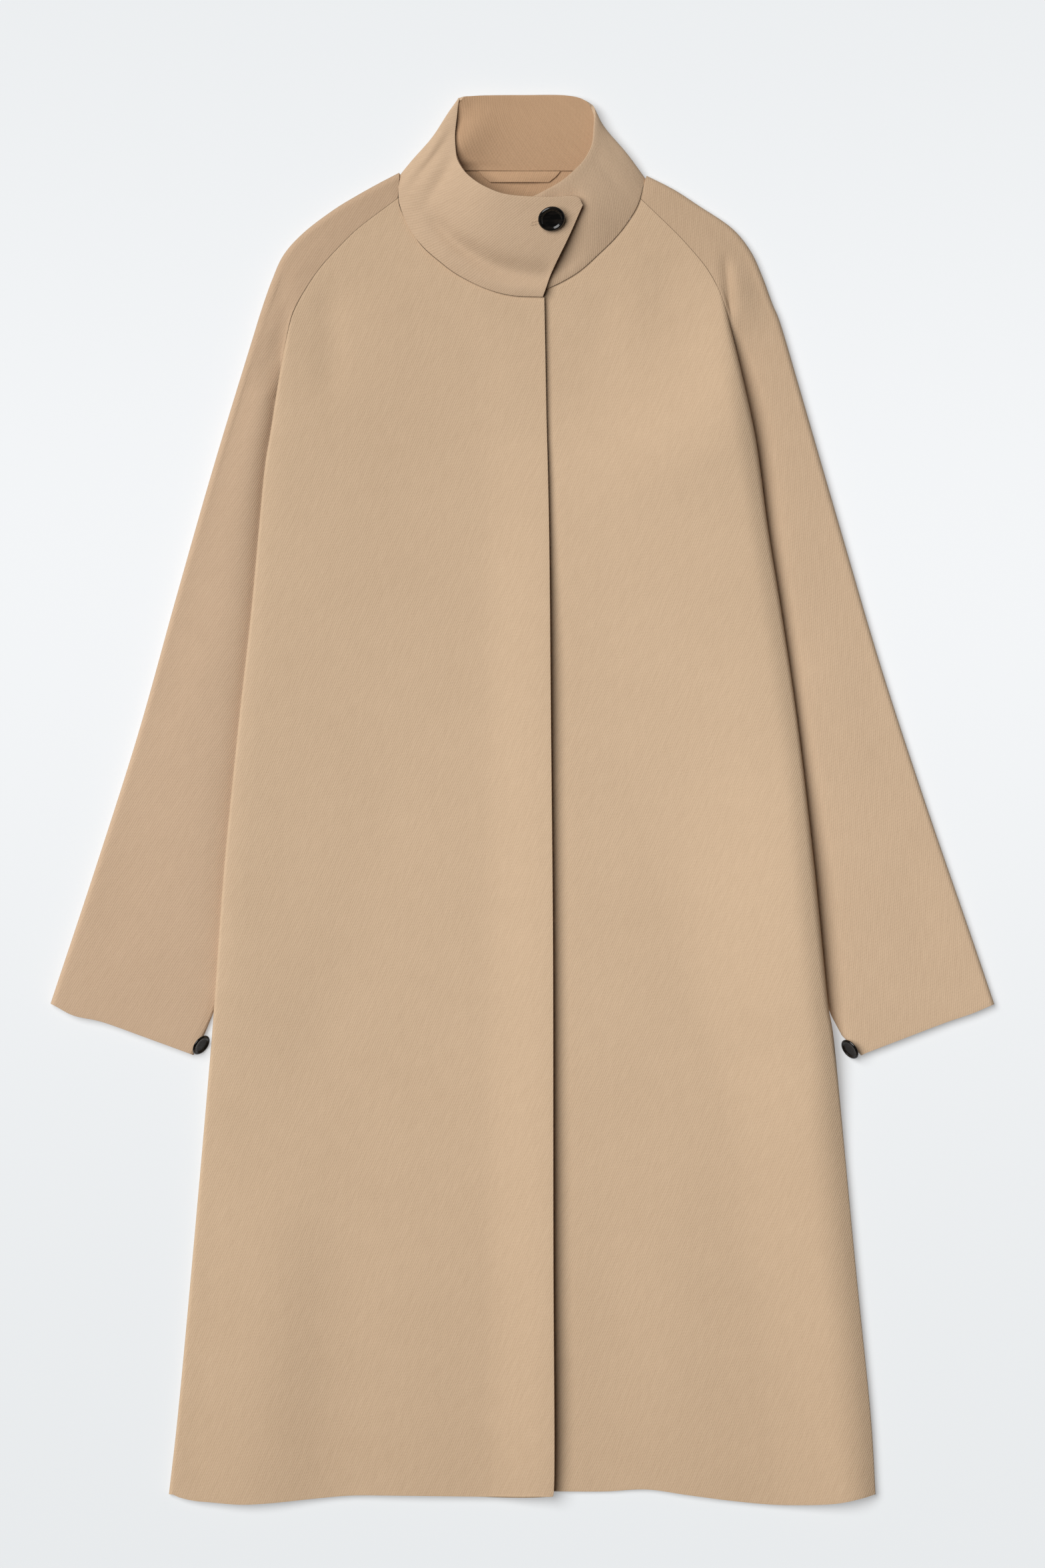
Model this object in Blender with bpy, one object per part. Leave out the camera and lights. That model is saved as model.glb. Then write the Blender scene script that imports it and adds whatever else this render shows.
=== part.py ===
"""A-line wool coat laid flat: two fronts, back, raglan sleeves, stand collar, loop and buttons."""
import math

import bmesh
import bpy
import numpy as np

# Driving sizes, all in millimetres
BODY_WALL = 2.0
SLEEVE_WALL = 2.6
COLLAR_WALL = 3.0
LOOP_WALL = 1.2
SEAM_GAP = 0.5
HIDDEN_GAP = 1.2
FOLD_RADIUS = 4.5
SLEEVE_RADIUS = 2.7
CUFF_RADIUS = 3.25
COLLAR_BUTTON = 23.0
COLLAR_BUTTON_THICKNESS = 3.6
BUTTON_CLEARANCE = 4.6
CUFF_BUTTON = 18.8
METRES = 0.001

# The wearer's right lies at -X
SIGN = {"right": -1.0, "left": 1.0}
UNDERARM_Y = 265.0
PLEAT_START_Y = 415.0
PLEAT_FULL_Y = 340.0

# Visible outer edge of each front: raglan seam first, then the rolled side fold
FRONT_SIDE = {
    "y": (512, 489, 476, 454, 435, 416, 396, 360, 315, 281, 228, 158, 60, -60, -170, -215, -397, -520, -591),
    "right": (
        106.0, 136.6, 150.8, 171.2, 184.3, 194.5, 200.0, 207.0, 214.0, 219.4, 224.5, 231.0, 242.0, 254.0,
        262.0, 265.4, 281.5, 293.0, 301.0,
    ),
    "left": (
        100.0, 124.0, 136.8, 155.5, 166.4, 173.2, 178.5, 187.0, 196.8, 202.2, 209.2, 220.5, 234.7, 248.5,
        259.5, 266.0, 283.5, 296.0, 300.5,
    ),
}

# Height of the side fold, and how far inwards the front slopes down from it
FRONT_LEVEL = {
    "y": (512, 476, 435, 396, 340, 265, 58, -165, -290, -600),
    "height": (13.0, 14.2, 16.0, 17.5, 18.5, 18.5, 18.5, 18.5, 10.0, 10.0),
    "reach": (110, 150, 190, 215, 232, 236, 152, 110, 95, 90),
}

# Side seam under each front, below the underarm
SIDE_SEAM = {"y": (265, -182, -591), "right": (112.0, 239.0, 267.0), "left": (99.0, 238.0, 266.5)}

# Inner edge of each sleeve, from underarm to cuff
SLEEVE_INNER = {
    "y": (265, -182, -200, -217),
    "right": (125.0, 263.4, 270.8, 280.0),
    "left": (112.0, 262.0, 271.5, 288.0),
}

# Outer edge of the shoulder and sleeve
SLEEVE_OUTER = {
    "right": (
        (104.3, 534), (122, 525), (142, 513.7), (161, 502), (185.7, 483.3), (203, 464.4), (213, 442.8),
        (221.7, 418.4), (229, 395), (263, 283.5), (295.4, 170), (327, 56.7), (363, -56.7), (401.4, -172.5),
    ),
    "left": (
        (105.5, 531.3), (128.7, 519.4), (150.3, 505.2), (178, 486.5), (194, 467.2), (204, 445.7),
        (212.6, 422.4), (220, 403.7), (237, 345.9), (271.6, 226.8), (305, 113.4), (342, 0), (381, -113.4),
        (401.4, -173.5),
    ),
}
BACK_RAGLAN = {
    "right": ((80, 536.9), (103, 470), (117, 390), (123, 320), (125, 265)),
    "left": ((80, 536.2), (98, 470), (108, 390), (111, 320), (112, 265)),
}

# Neck edge of each front, from the front edge to the raglan seam
FRONT_NECK = {
    "right": (
        (18.6, 427.5), (-10.8, 429.2), (-33.2, 435.7), (-55.6, 446.8), (-70.9, 458.1), (-85.8, 471.4),
        (-97, 488.2), (-104, 503), (-106, 512),
    ),
    "left": (
        (-20, 424), (0, 428), (21.5, 434.9), (45.9, 447.9), (64.6, 463.8), (81.6, 480.8), (94.7, 499.5),
        (100, 512),
    ),
}
FRONT_EDGE = {
    "right": (
        (18.6, 427.5), (20.4, 329), (22.7, 227), (24.4, 50), (26, -130), (26.3, -385), (27.2, -540),
        (26.6, -588), (24, -592.5),
    ),
    "left": ((-20, 424), (-20, 300), (-20, 100), (-20, -200), (-20, -588)),
}
FRONT_HEM = {
    "right": (
        (24, -592.5), (-10, -593.1), (-61, -592.5), (-112, -591.9), (-146, -591.9), (-180, -594.8),
        (-214, -598.2), (-240, -599.5), (-265, -597.6), (-282, -595.9), (-301, -591),
    ),
    "left": (
        (-20, -588), (37, -588.5), (71, -588.5), (105.5, -586.8), (139.5, -591.4), (173.5, -595.9),
        (207.5, -599.3), (233, -600), (258.6, -599.3), (275.6, -597.1), (300.5, -591),
    ),
}
FRONT_EDGE_HEIGHT = {"y": (428, 280, -600), "right": (13.5, 8.6, 8.6), "left": (8.5, 4.2, 4.2)}
FRONT_DIP = {"right": 2.4, "left": 0.0}

# Soft flutes of the fronts: x_top, y_top, x_hem, y_hem of a line in plan, its half_width and its rise
FLUTES = {
    "right": ((-205, -300, -228, -600, 42, 3.2), (-160, -270, -166, -600, 30, -1.2),
              (-95, -330, -80, -600, 45, 1.6)),
    "left": ((70, -300, 66, -600, 30, -0.8), (125, -250, 150, -600, 40, 2.0),
             (160, -260, 262, -600, 32, -1.2), (190, -260, 225, -600, 34, 2.4)),
}

# Collar stations round the neck: seam_x, seam_y, seam_z, then edge_x, edge_y, edge_z of the top edge
COLLAR = (
    (18.0, 429.5, 15.5, 51.0, 505.5, 33.0),
    (12.0, 429.8, 15.5, 44.7, 512.7, 34.0),
    (-10.8, 431.2, 15.5, 20.0, 512.0, 34.5),
    (-33.0, 437.6, 15.5, -12.0, 514.0, 34.5),
    (-55.0, 448.7, 15.5, -31.0, 520.5, 33.0),
    (-70.0, 459.8, 15.5, -44.5, 529.5, 30.0),
    (-84.5, 472.8, 15.3, -52.0, 538.5, 26.5),
    (-96.0, 488.8, 15.0, -56.0, 548.5, 23.0),
    (-103.4, 507.8, 13.8, -57.3, 564.0, 19.5),
    (-104.0, 522.0, 11.8, -56.0, 580.0, 16.0),
    (-102.0, 533.0, 7.2, -53.0, 596.0, 11.5),
    (-92.0, 537.0, 3.2, -42.0, 598.9, 7.5),
    (-60.0, 537.8, 2.6, -22.0, 599.5, 6.0),
    (0.0, 538.0, 2.6, 0.0, 599.6, 6.0),
    (60.0, 537.6, 2.6, 36.0, 599.4, 6.5),
    (92.0, 535.5, 3.2, 54.0, 595.0, 8.5),
    (102.0, 530.2, 7.2, 61.8, 585.5, 14.0),
    (100.6, 520.5, 10.8, 61.0, 571.0, 22.0),
    (98.2, 511.0, 12.5, 59.0, 557.0, 27.5),
    (93.0, 500.0, 12.8, 53.0, 545.0, 30.0),
    (80.2, 482.2, 12.0, 44.0, 535.0, 30.0),
    (63.4, 465.4, 11.0, 32.0, 525.0, 29.0),
    (45.0, 449.6, 10.0, 15.0, 515.5, 27.5),
    (21.0, 436.8, 9.8, -6.0, 507.0, 26.0),
    (0.0, 430.2, 9.8, -25.0, 501.0, 25.0),
)
COLLAR_SWELL = 3.0
COLLAR_BUTTON_STATION = 1.62
COLLAR_BUTTON_RISE = 0.77
BUTTON_LEAN = (0.13, -0.36, 0.0)

CLOTH_COLOUR = (0.60, 0.43, 0.29, 1.0)
BUTTON_COLOUR = (0.012, 0.011, 0.010, 1.0)
SPLINE_STEPS = 16


# Plain curve tools
def spline_point(before, start, end, after, share):
    linear = (end - before) * share
    square = (2 * before - 5 * start + 4 * end - after) * share ** 2
    cube = (3 * start - before - 3 * end + after) * share ** 3
    return 0.5 * (2 * start + linear + square + cube)


def fine_curve(points):
    controls = np.array(points, dtype=float)
    first = 2 * controls[0] - controls[1]
    last = 2 * controls[-1] - controls[-2]
    padded = np.vstack([first, controls, last])
    fine = []
    for index in range(len(controls) - 1):
        for share in np.linspace(0, 1, SPLINE_STEPS, endpoint=False):
            fine.append(spline_point(*padded[index:index + 4], share))
    fine.append(controls[-1])
    return np.array(fine)


def travelled(points):
    steps = np.linalg.norm(np.diff(points, axis=0), axis=1)
    return np.concatenate([[0.0], np.cumsum(steps)])


def even_curve(points, shares):
    fine = fine_curve(points)
    length = travelled(fine)
    wanted = np.asarray(shares) * length[-1]
    columns = [np.interp(wanted, length, fine[:, axis]) for axis in range(fine.shape[1])]
    return np.column_stack(columns)


def value_at(table, column, y):
    return float(np.interp(y, table["y"][::-1], table[column][::-1]))


def soft_value_at(table, column, y):
    return float(np.mean([value_at(table, column, y + shift) for shift in (-24, -12, 0, 12, 24)]))


def ease(share):
    held = min(1.0, max(0.0, share))
    return held * held * (3 - 2 * held)


# Cloth solids: a grid of points through the middle of the wall, then both faces
def material(name, colour, roughness):
    made = bpy.data.materials.new(name)
    made.use_nodes = True
    shader = made.node_tree.nodes["Principled BSDF"]
    shader.inputs["Base Color"].default_value = colour
    shader.inputs["Roughness"].default_value = roughness
    shader.inputs["Metallic"].default_value = 0.0
    made.diffuse_color = colour
    return made


def add_object(name, shape, colour, roughness):
    mesh = bpy.data.meshes.new(name)
    bmesh.ops.recalc_face_normals(shape, faces=shape.faces)
    shape.to_mesh(mesh)
    shape.free()
    made = bpy.data.objects.new(name, mesh)
    bpy.context.scene.collection.objects.link(made)
    mesh.materials.append(material(name + "_material", colour, roughness))
    return made


def cloth(name, rows, wall):
    shape = bmesh.new()
    points = [[shape.verts.new(np.asarray(point) * METRES) for point in row] for row in rows]
    for upper, lower in zip(points, points[1:]):
        for index in range(len(upper) - 1):
            shape.faces.new((upper[index], lower[index], lower[index + 1], upper[index + 1]))
    bmesh.ops.remove_doubles(shape, verts=shape.verts, dist=0.000001)
    made = add_object(name, shape, CLOTH_COLOUR, 0.92)
    solid = made.modifiers.new("wall", "SOLIDIFY")
    solid.thickness = wall * METRES
    solid.offset = 0.0
    solid.use_even_offset = True
    solid.use_quality_normals = True
    return made


# Fronts: the top layer, the rolled side fold and the layer turned under
SEAM_ROWS = (512, 489, 466, 443, 424, 408, 392, 376, 358, 340, 315, 290, 265)
FALL_ROWS = (250, 225, 180, 130, 75, 15, -45, -105, -165, -215, -265, -330, -400, -465, -530, -570, -591)
FRONT_COLUMNS = 12
# Share of the hem line on the top layer, before the side fold turns
HEM_TOP_SHARE = 0.985
# The dip behind the lapped edge: deepest a third of the way across, and none at the neck
DIP_PEAK = 27 / 4
DIP_START_SHARE = 0.12
FLUTE_MARGIN = 0.1
FOLD_STEPS = 5
UNDER_STEPS = 6


def roll_at(y):
    return min(1.0, max(0.0, (PLEAT_START_Y - y) / (PLEAT_START_Y - PLEAT_FULL_Y)))


def side_frame(side, y):
    out = float(np.interp(y, *side_curve(side)))
    turn = math.pi * roll_at(y)
    lean = math.sin(min(turn, math.pi / 2))
    inset = SEAM_GAP / 2 + (BODY_WALL / 2 - SEAM_GAP / 2) * lean
    start = out - inset - FOLD_RADIUS * lean
    return start, soft_value_at(FRONT_LEVEL, "height", y), turn


def side_curve(side):
    fine = fine_curve(list(zip(FRONT_SIDE["y"], FRONT_SIDE[side])))
    return fine[::-1, 0], fine[::-1, 1]


def under_edge(side, y):
    start, height, turn = side_frame(side, y)
    if y >= UNDERARM_Y:
        share = (PLEAT_FULL_Y - y) / (PLEAT_FULL_Y - UNDERARM_Y)
        target = value_at(SLEEVE_INNER, side, UNDERARM_Y) - 9.0
        return start + (target - start) * max(0.0, share)
    return value_at(SIDE_SEAM, side, y)


def under_points(side, y):
    start, height, turn = side_frame(side, y)
    edge = under_edge(side, y)
    high = height - 2 * FOLD_RADIUS
    low = BODY_WALL / 2
    if y >= PLEAT_FULL_Y:
        tip = (start + FOLD_RADIUS * math.sin(turn), height - FOLD_RADIUS * (1 - math.cos(turn)))
        return [tip] * UNDER_STEPS
    if y >= UNDERARM_Y:
        drop_start = edge + min(14.0, (start - edge) / 2)
        drop_end = edge + (drop_start - edge) / 7
        low = high
    else:
        drop_start = min(start - 4.0, value_at(SLEEVE_INNER, side, y) + 1.0)
        drop_end = edge + 2.0
    places = [(start + drop_start) / 2]
    places += list(np.linspace(drop_start, drop_end, UNDER_STEPS - 2))
    places += [edge]
    fallen = [ease((drop_start - place) / (drop_start - drop_end)) for place in places]
    return [(place, high + (low - high) * share) for place, share in zip(places, fallen)]


def flute_height(side, x, y):
    total = 0.0
    for x_top, y_top, x_hem, y_hem, half_width, rise in FLUTES[side]:
        share = (y_top - y) / (y_top - y_hem)
        if share > 0:
            centre = x_top + (x_hem - x_top) * share
            total += rise * ease(share) * math.exp(-((x - centre) / half_width) ** 2)
    return total


def front_rows(side):
    sign = SIGN[side]
    heights = SEAM_ROWS + FALL_ROWS
    frames = [side_frame(side, y) for y in heights]
    outer = np.array([(sign * frame[0], y) for frame, y in zip(frames, heights)])
    down = travelled(outer) / travelled(outer)[-1]
    across = np.linspace(0, 1, FRONT_COLUMNS + 1)
    neck = even_curve(FRONT_NECK[side], across)
    neck[-1] = outer[0]
    hem = even_curve(FRONT_HEM[side], across * HEM_TOP_SHARE)
    hem[-1] = outer[-1]
    edge = even_curve(FRONT_EDGE[side], down)
    rows = []
    for index, (y, share) in enumerate(zip(heights, down)):
        start, height, turn = frames[index]
        reach = soft_value_at(FRONT_LEVEL, "reach", y)
        row = []
        plan = []
        for column, u in enumerate(across):
            ruled = (1 - share) * neck[column] + share * hem[column]
            ruled = ruled + (1 - u) * edge[index] + u * outer[index]
            neck_corners = (1 - u) * neck[0] + u * neck[-1]
            hem_corners = (1 - u) * hem[0] + u * hem[-1]
            corners = (1 - share) * neck_corners + share * hem_corners
            plan.append(ruled - corners)
        for u, point in zip(across, plan):
            inner = soft_value_at(FRONT_EDGE_HEIGHT, side, edge[index][1])
            distance = np.linalg.norm(point - plan[-1])
            z = inner + (height - inner) * (1 - ease(distance / reach))
            z -= FRONT_DIP[side] * DIP_PEAK * u * (1 - u) ** 2 * min(1.0, share / DIP_START_SHARE)
            z += flute_height(side, point[0], point[1]) * ease((1 - u) / FLUTE_MARGIN)
            row.append((point[0], point[1], z))
        for step in range(1, FOLD_STEPS + 1):
            angle = turn * step / FOLD_STEPS
            fold_x = start + FOLD_RADIUS * math.sin(angle)
            fold_z = height - FOLD_RADIUS * (1 - math.cos(angle))
            row.append((sign * fold_x, y, fold_z))
        for place, level in under_points(side, y):
            row.append((sign * place, y, level))
        rows.append(row)
    return rows


# Sleeves: an open strip along the raglan seams, a flattened tube below the underarm
TUBE_ROWS = 12
ARC_STEPS = 3
TOP_STEPS = 7
BOTTOM_STEPS = 5
OUTER_STEPS = 5
SHOULDER_RADIUS = 4.2
# How far the sleeve's seam edge lies under the turned-under front, and how rows bunch at the shoulder
SEAM_STACK = 2.8
SHOULDER_BUNCHING = 0.62
SLEEVE_CROWN = 2.5
FRONT_CLEARANCE = 1.5
SHOULDER_SHARE = 0.37


def sleeve_seam(side, y):
    start, height, turn = side_frame(side, y)
    tip_x = start + FOLD_RADIUS * math.sin(turn)
    tip_z = height - FOLD_RADIUS * (1 - math.cos(turn))
    if y < PLEAT_FULL_Y:
        tip_x = under_edge(side, y)
        tip_z = height - 2 * FOLD_RADIUS
    roll = roll_at(y)
    return tip_x + SEAM_GAP * (1 - roll) + 0.5 * math.sin(math.pi * roll), tip_z - SEAM_STACK * roll ** 0.7


def clear_of_front(side, place):
    return place[0] - float(np.interp(place[1], *side_curve(side))) - FRONT_CLEARANCE


def sleeve_rows(side):
    sign = SIGN[side]
    seam_count = len(SEAM_ROWS) - 1
    low = SLEEVE_WALL / 2
    top_shares = [SHOULDER_SHARE * (index / seam_count) ** SHOULDER_BUNCHING for index in range(seam_count)]
    tube_shares = list(np.linspace(SHOULDER_SHARE, 1.0, TUBE_ROWS + 1))
    outer = even_curve(SLEEVE_OUTER[side], top_shares + tube_shares)
    raglan = even_curve(BACK_RAGLAN[side], np.linspace(0, 1, seam_count + 1))
    inner_fine = np.column_stack([SLEEVE_INNER[side], SLEEVE_INNER["y"]])
    inner_length = travelled(inner_fine)
    rows = []
    for index in range(seam_count + TUBE_ROWS + 1):
        far = outer[index]
        if index < seam_count:
            y = SEAM_ROWS[index]
            seam_x, seam_z = sleeve_seam(side, y)
            near_top = np.array([seam_x, y])
            near_bottom = raglan[index]
            top_arc = [(near_top, seam_z)] * (ARC_STEPS + 1)
            bottom_arc = [(near_bottom, low)] * (ARC_STEPS + 1)
            outer_radius = SHOULDER_RADIUS
            inner_high = seam_z
            crown = SLEEVE_CROWN * ease((430 - y) / 60)
            roll = roll_at(y)
        else:
            roll = 1.0
            share = (index - seam_count) / TUBE_ROWS
            place = share * inner_length[-1]
            inner = np.array([np.interp(place, inner_length, inner_fine[:, axis]) for axis in range(2)])
            radius = SLEEVE_RADIUS + (CUFF_RADIUS - SLEEVE_RADIUS) * ease((share - 0.9) / 0.1)
            outer_radius = SHOULDER_RADIUS + (CUFF_RADIUS - SHOULDER_RADIUS) * ease(share / 0.4)
            heading = (far - inner) / np.linalg.norm(far - inner)
            centre = inner + heading * (radius + low)
            angles = [math.pi / 2 * step / ARC_STEPS for step in range(ARC_STEPS + 1)]
            arc = [(centre - heading * radius * math.cos(a), radius * math.sin(a)) for a in angles]
            top_arc = [(place, low + radius + rise) for place, rise in arc]
            bottom_arc = [(place, low + radius - rise) for place, rise in arc]
            bottom_arc.reverse()
            near_top = centre
            near_bottom = centre
            inner_high = low + 2 * radius
            crown = SLEEVE_CROWN * (1 - ease(share / 0.35))
        heading = (far - near_top) / np.linalg.norm(far - near_top)
        turn_centre = far - heading * (outer_radius + low)
        outer_high = low + 2 * outer_radius
        section = list(top_arc)
        for step in range(1, TOP_STEPS + 1):
            s = step / TOP_STEPS
            place = near_top + (turn_centre - near_top) * s
            bared = clear_of_front(side, place) / max(4.0, clear_of_front(side, turn_centre))
            shown = s + (min(1.0, max(0.0, bared)) - s) * roll
            z = inner_high + (outer_high - inner_high) * ease(shown) + crown * math.sin(math.pi * shown) ** 2
            section.append((place, z))
        for step in range(1, OUTER_STEPS + 1):
            angle = math.pi * step / OUTER_STEPS
            place = turn_centre + heading * outer_radius * math.sin(angle)
            section.append((place, low + outer_radius * (1 + math.cos(angle))))
        for step in range(1, BOTTOM_STEPS + 1):
            s = step / BOTTOM_STEPS
            section.append((turn_centre + (near_bottom - turn_centre) * s, low))
        section += bottom_arc[1:]
        rows.append([(sign * place[0], place[1], z) for place, z in section])
    return rows


# Back: one flat panel on the surface
BACK_COLUMNS = 8
BACK_HEM_Y = -584.0


def back_rows():
    seam_count = len(SEAM_ROWS) - 1
    sides = {}
    for side in SIGN:
        raglan = even_curve(BACK_RAGLAN[side], np.linspace(0, 1, seam_count + 1)[:-1])
        line = [(point[0] - HIDDEN_GAP, point[1]) for point in raglan]
        line += [(value_at(SLEEVE_INNER, side, UNDERARM_Y) - 4.0, UNDERARM_Y + 12)]
        line += [(value_at(SIDE_SEAM, side, 250) - 4.0, 250)]
        falls = [y for y in FALL_ROWS[1:] if y > BACK_HEM_Y] + [BACK_HEM_Y]
        line += [(value_at(SIDE_SEAM, side, y) - HIDDEN_GAP, y) for y in falls]
        sides[side] = line
    rows = []
    for right, left in zip(sides["right"], sides["left"]):
        row = []
        for share in np.linspace(0, 1, BACK_COLUMNS + 1):
            x = -right[0] + (right[0] + left[0]) * share
            y = right[1] + (left[1] - right[1]) * share
            row.append((x, y, BODY_WALL / 2))
        rows.append(row)
    return rows


# Collar: a stiff band round the neck, its right end lapped over its left
COLLAR_ROWS = 6
COLLAR_PER_STATION = 2


def collar_station(place):
    controls = np.array(COLLAR)
    padded = np.vstack([2 * controls[0] - controls[1], controls, 2 * controls[-1] - controls[-2]])
    index = min(int(place), len(controls) - 2)
    return spline_point(*padded[index:index + 4], place - index)


def collar_point(place, rise):
    station = collar_station(place)
    upward = station[3:] - station[:3]
    return station[:3] + upward * rise + np.array([0.0, 0.0, COLLAR_SWELL * 4 * rise * (1 - rise)])


def collar_rows():
    count = (len(COLLAR) - 1) * COLLAR_PER_STATION
    places = [index / COLLAR_PER_STATION for index in range(count + 1)]
    return [[collar_point(place, rise) for rise in np.linspace(0, 1, COLLAR_ROWS + 1)] for place in places]


# Hanger loop: a narrow strip under the back neck seam, bowed a little off the back
LOOP_STEPS = 8


def loop_rows():
    rows = []
    for share, y, half in ((0.0, 535.2, 35.0), (0.5, 530.5, 31.0), (1.0, 525.8, 25.0)):
        row = []
        for step in range(LOOP_STEPS + 1):
            s = step / LOOP_STEPS
            bow = 2.2 * math.sin(math.pi * s) * ease(share / 0.6)
            row.append((-2.5 + half * (2 * s - 1), y, BODY_WALL + 0.4 + LOOP_WALL / 2 + bow))
        rows.append(row)
    return rows


# Buttons: a turned disc with a raised rim and a shallow dish
BUTTON_STEPS = 24


def button(name, diameter, thickness, centre, facing, hang):
    half = diameter / 2
    profile = (
        (0.0, 0.0), (half * 0.72, 0.0), (half * 0.93, thickness * 0.25), (half, thickness * 0.58),
        (half * 0.95, thickness * 0.92), (half * 0.86, thickness), (half * 0.74, thickness * 0.8),
        (half * 0.4, thickness * 0.62), (0.0, thickness * 0.58),
    )
    outward = np.asarray(facing) / np.linalg.norm(facing)
    across = np.cross(outward, hang)
    across /= np.linalg.norm(across)
    down = np.cross(outward, across)
    shape = bmesh.new()
    rings = []
    for radius, rise in profile:
        ring = []
        for step in range(BUTTON_STEPS):
            angle = 2 * math.pi * step / BUTTON_STEPS
            spoke = across * math.cos(angle) + down * math.sin(angle)
            point = centre + outward * rise + spoke * radius
            ring.append(shape.verts.new(point * METRES))
        rings.append(ring)
    for lower, upper in zip(rings, rings[1:]):
        for index in range(BUTTON_STEPS):
            after = (index + 1) % BUTTON_STEPS
            shape.faces.new((lower[index], lower[after], upper[after], upper[index]))
    bmesh.ops.remove_doubles(shape, verts=shape.verts, dist=0.000001)
    return add_object(name, shape, BUTTON_COLOUR, 0.18)


def collar_facing(place, rise):
    along = collar_point(place + 0.05, rise) - collar_point(place - 0.05, rise)
    upward = collar_point(place, rise + 0.02) - collar_point(place, rise - 0.02)
    facing = np.cross(upward, along)
    return facing if facing[2] > 0 else -facing


# Assembly
for existing in list(bpy.data.objects):
    bpy.data.objects.remove(existing, do_unlink=True)

cloth("back", back_rows(), BODY_WALL)
for side in SIGN:
    cloth("sleeve_" + side, sleeve_rows(side), SLEEVE_WALL)
    cloth("front_" + side, front_rows(side), BODY_WALL)
cloth("collar", collar_rows(), COLLAR_WALL)
cloth("hanger_loop", loop_rows(), LOOP_WALL)

under_button = collar_facing(COLLAR_BUTTON_STATION, COLLAR_BUTTON_RISE)
under_button /= np.linalg.norm(under_button)
seat = collar_point(COLLAR_BUTTON_STATION, COLLAR_BUTTON_RISE)
seat += under_button * (COLLAR_WALL / 2 + BUTTON_CLEARANCE)
facing = under_button + np.array(BUTTON_LEAN)
facing /= np.linalg.norm(facing)
button("button_collar", COLLAR_BUTTON, COLLAR_BUTTON_THICKNESS, seat, facing, (1.0, 0.0, 0.0))

CUFF_TILT = math.radians(58)
CUFF_BUTTON_HEIGHT = 9.3
CUFF_BUTTON_THICKNESS = 2.6
CUFF_BUTTONS = {"right": ((-273.4, -208.4), (0.79, -0.61)), "left": ((278.6, -212.0), (-0.79, -0.61))}
for side, (middle, lean) in CUFF_BUTTONS.items():
    facing = np.array([lean[0] * math.sin(CUFF_TILT), lean[1] * math.sin(CUFF_TILT), math.cos(CUFF_TILT)])
    seat = np.array([middle[0], middle[1], CUFF_BUTTON_HEIGHT]) - facing * CUFF_BUTTON_THICKNESS / 2
    button("button_cuff_" + side, CUFF_BUTTON, CUFF_BUTTON_THICKNESS, seat, facing, (0.0, 0.0, 1.0))
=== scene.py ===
import math

import bmesh
import bpy
import numpy as np
from mathutils import Matrix, Vector, noise


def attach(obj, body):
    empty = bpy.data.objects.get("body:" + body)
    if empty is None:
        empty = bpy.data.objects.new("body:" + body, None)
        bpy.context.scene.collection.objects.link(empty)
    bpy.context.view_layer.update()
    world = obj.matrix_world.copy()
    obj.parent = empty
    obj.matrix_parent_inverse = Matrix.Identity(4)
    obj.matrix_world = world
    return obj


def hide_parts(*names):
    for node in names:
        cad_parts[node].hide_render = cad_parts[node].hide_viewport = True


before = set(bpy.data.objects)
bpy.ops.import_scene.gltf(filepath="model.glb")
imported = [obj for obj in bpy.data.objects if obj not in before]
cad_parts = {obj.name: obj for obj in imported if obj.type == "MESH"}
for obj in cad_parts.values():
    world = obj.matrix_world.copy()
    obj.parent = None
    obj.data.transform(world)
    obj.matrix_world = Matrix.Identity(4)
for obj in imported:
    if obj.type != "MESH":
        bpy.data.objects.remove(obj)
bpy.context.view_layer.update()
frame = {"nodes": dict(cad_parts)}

# Back: one panel of brushed wool twill with slanting raglan edges above and flared side seams
# below. It lies flat on the table, and the sleeves, the fronts and the collar are sewn round it.
MM = 0.001
SIGN = {"right": -1.0, "left": 1.0}
BODY_WALL = 2.0
HIDDEN_GAP = 1.2
UNDERARM_Y = 265.0
BACK_HEM_Y = -584.0
BACK_COLUMNS = 50
SIDE_SEAM = {"y": (265, -182, -591), "right": (112.0, 239.0, 267.0), "left": (99.0, 238.0, 266.5)}
BACK_RAGLAN = {
    "right": ((80, 536.9), (103, 470), (117, 390), (123, 320), (121, 277)),
    "left": ((80, 536.2), (98, 470), (108, 390), (111, 320), (108, 277)),
}
# How much longer the back is than its side seams, across its hem
BACK_HEM_DROP = {
    "x": (-267, -240, -180, -110, 0, 105, 173, 233, 267),
    "drop": (6.0, 9.0, 6.0, 3.5, 1.0, 0.0, 7.0, 11.0, 6.0),
}
BACK_HEM_REACH = 100.0
SEAM_ALLOWANCE = 4.0
SLEEVE_TUCK = 9.0
BODY_SLANT = 66
BACK_RAGLAN_ROWS = 40
BACK_SIDE_ROWS = 80
BACK_SIDE_TOP = 275
# How far the back's edge lies inside the raglan line, and inside the side seam
RAGLAN_INSET = {"y": (277, 300), "inset": (0.0, HIDDEN_GAP)}
SIDE_TUCK = {"y": (225, 250, 275), "tuck": (HIDDEN_GAP, SEAM_ALLOWANCE, SEAM_ALLOWANCE - SLEEVE_TUCK)}


def curve_through(points, shares, steps=16):
    """Places at the given shares of the length of a smooth curve through the points."""
    controls = np.array(points, dtype=float)
    padded = np.vstack([2 * controls[0] - controls[1], controls, 2 * controls[-1] - controls[-2]])
    fine = [smooth_step(padded, index, share) for index in range(len(controls) - 1)
            for share in np.linspace(0, 1, steps, endpoint=False)]
    fine = np.array(fine + [controls[-1]])
    length = run_of(fine)
    wanted = np.asarray(shares) * length[-1]
    return np.column_stack([np.interp(wanted, length, column) for column in fine.T])


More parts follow.
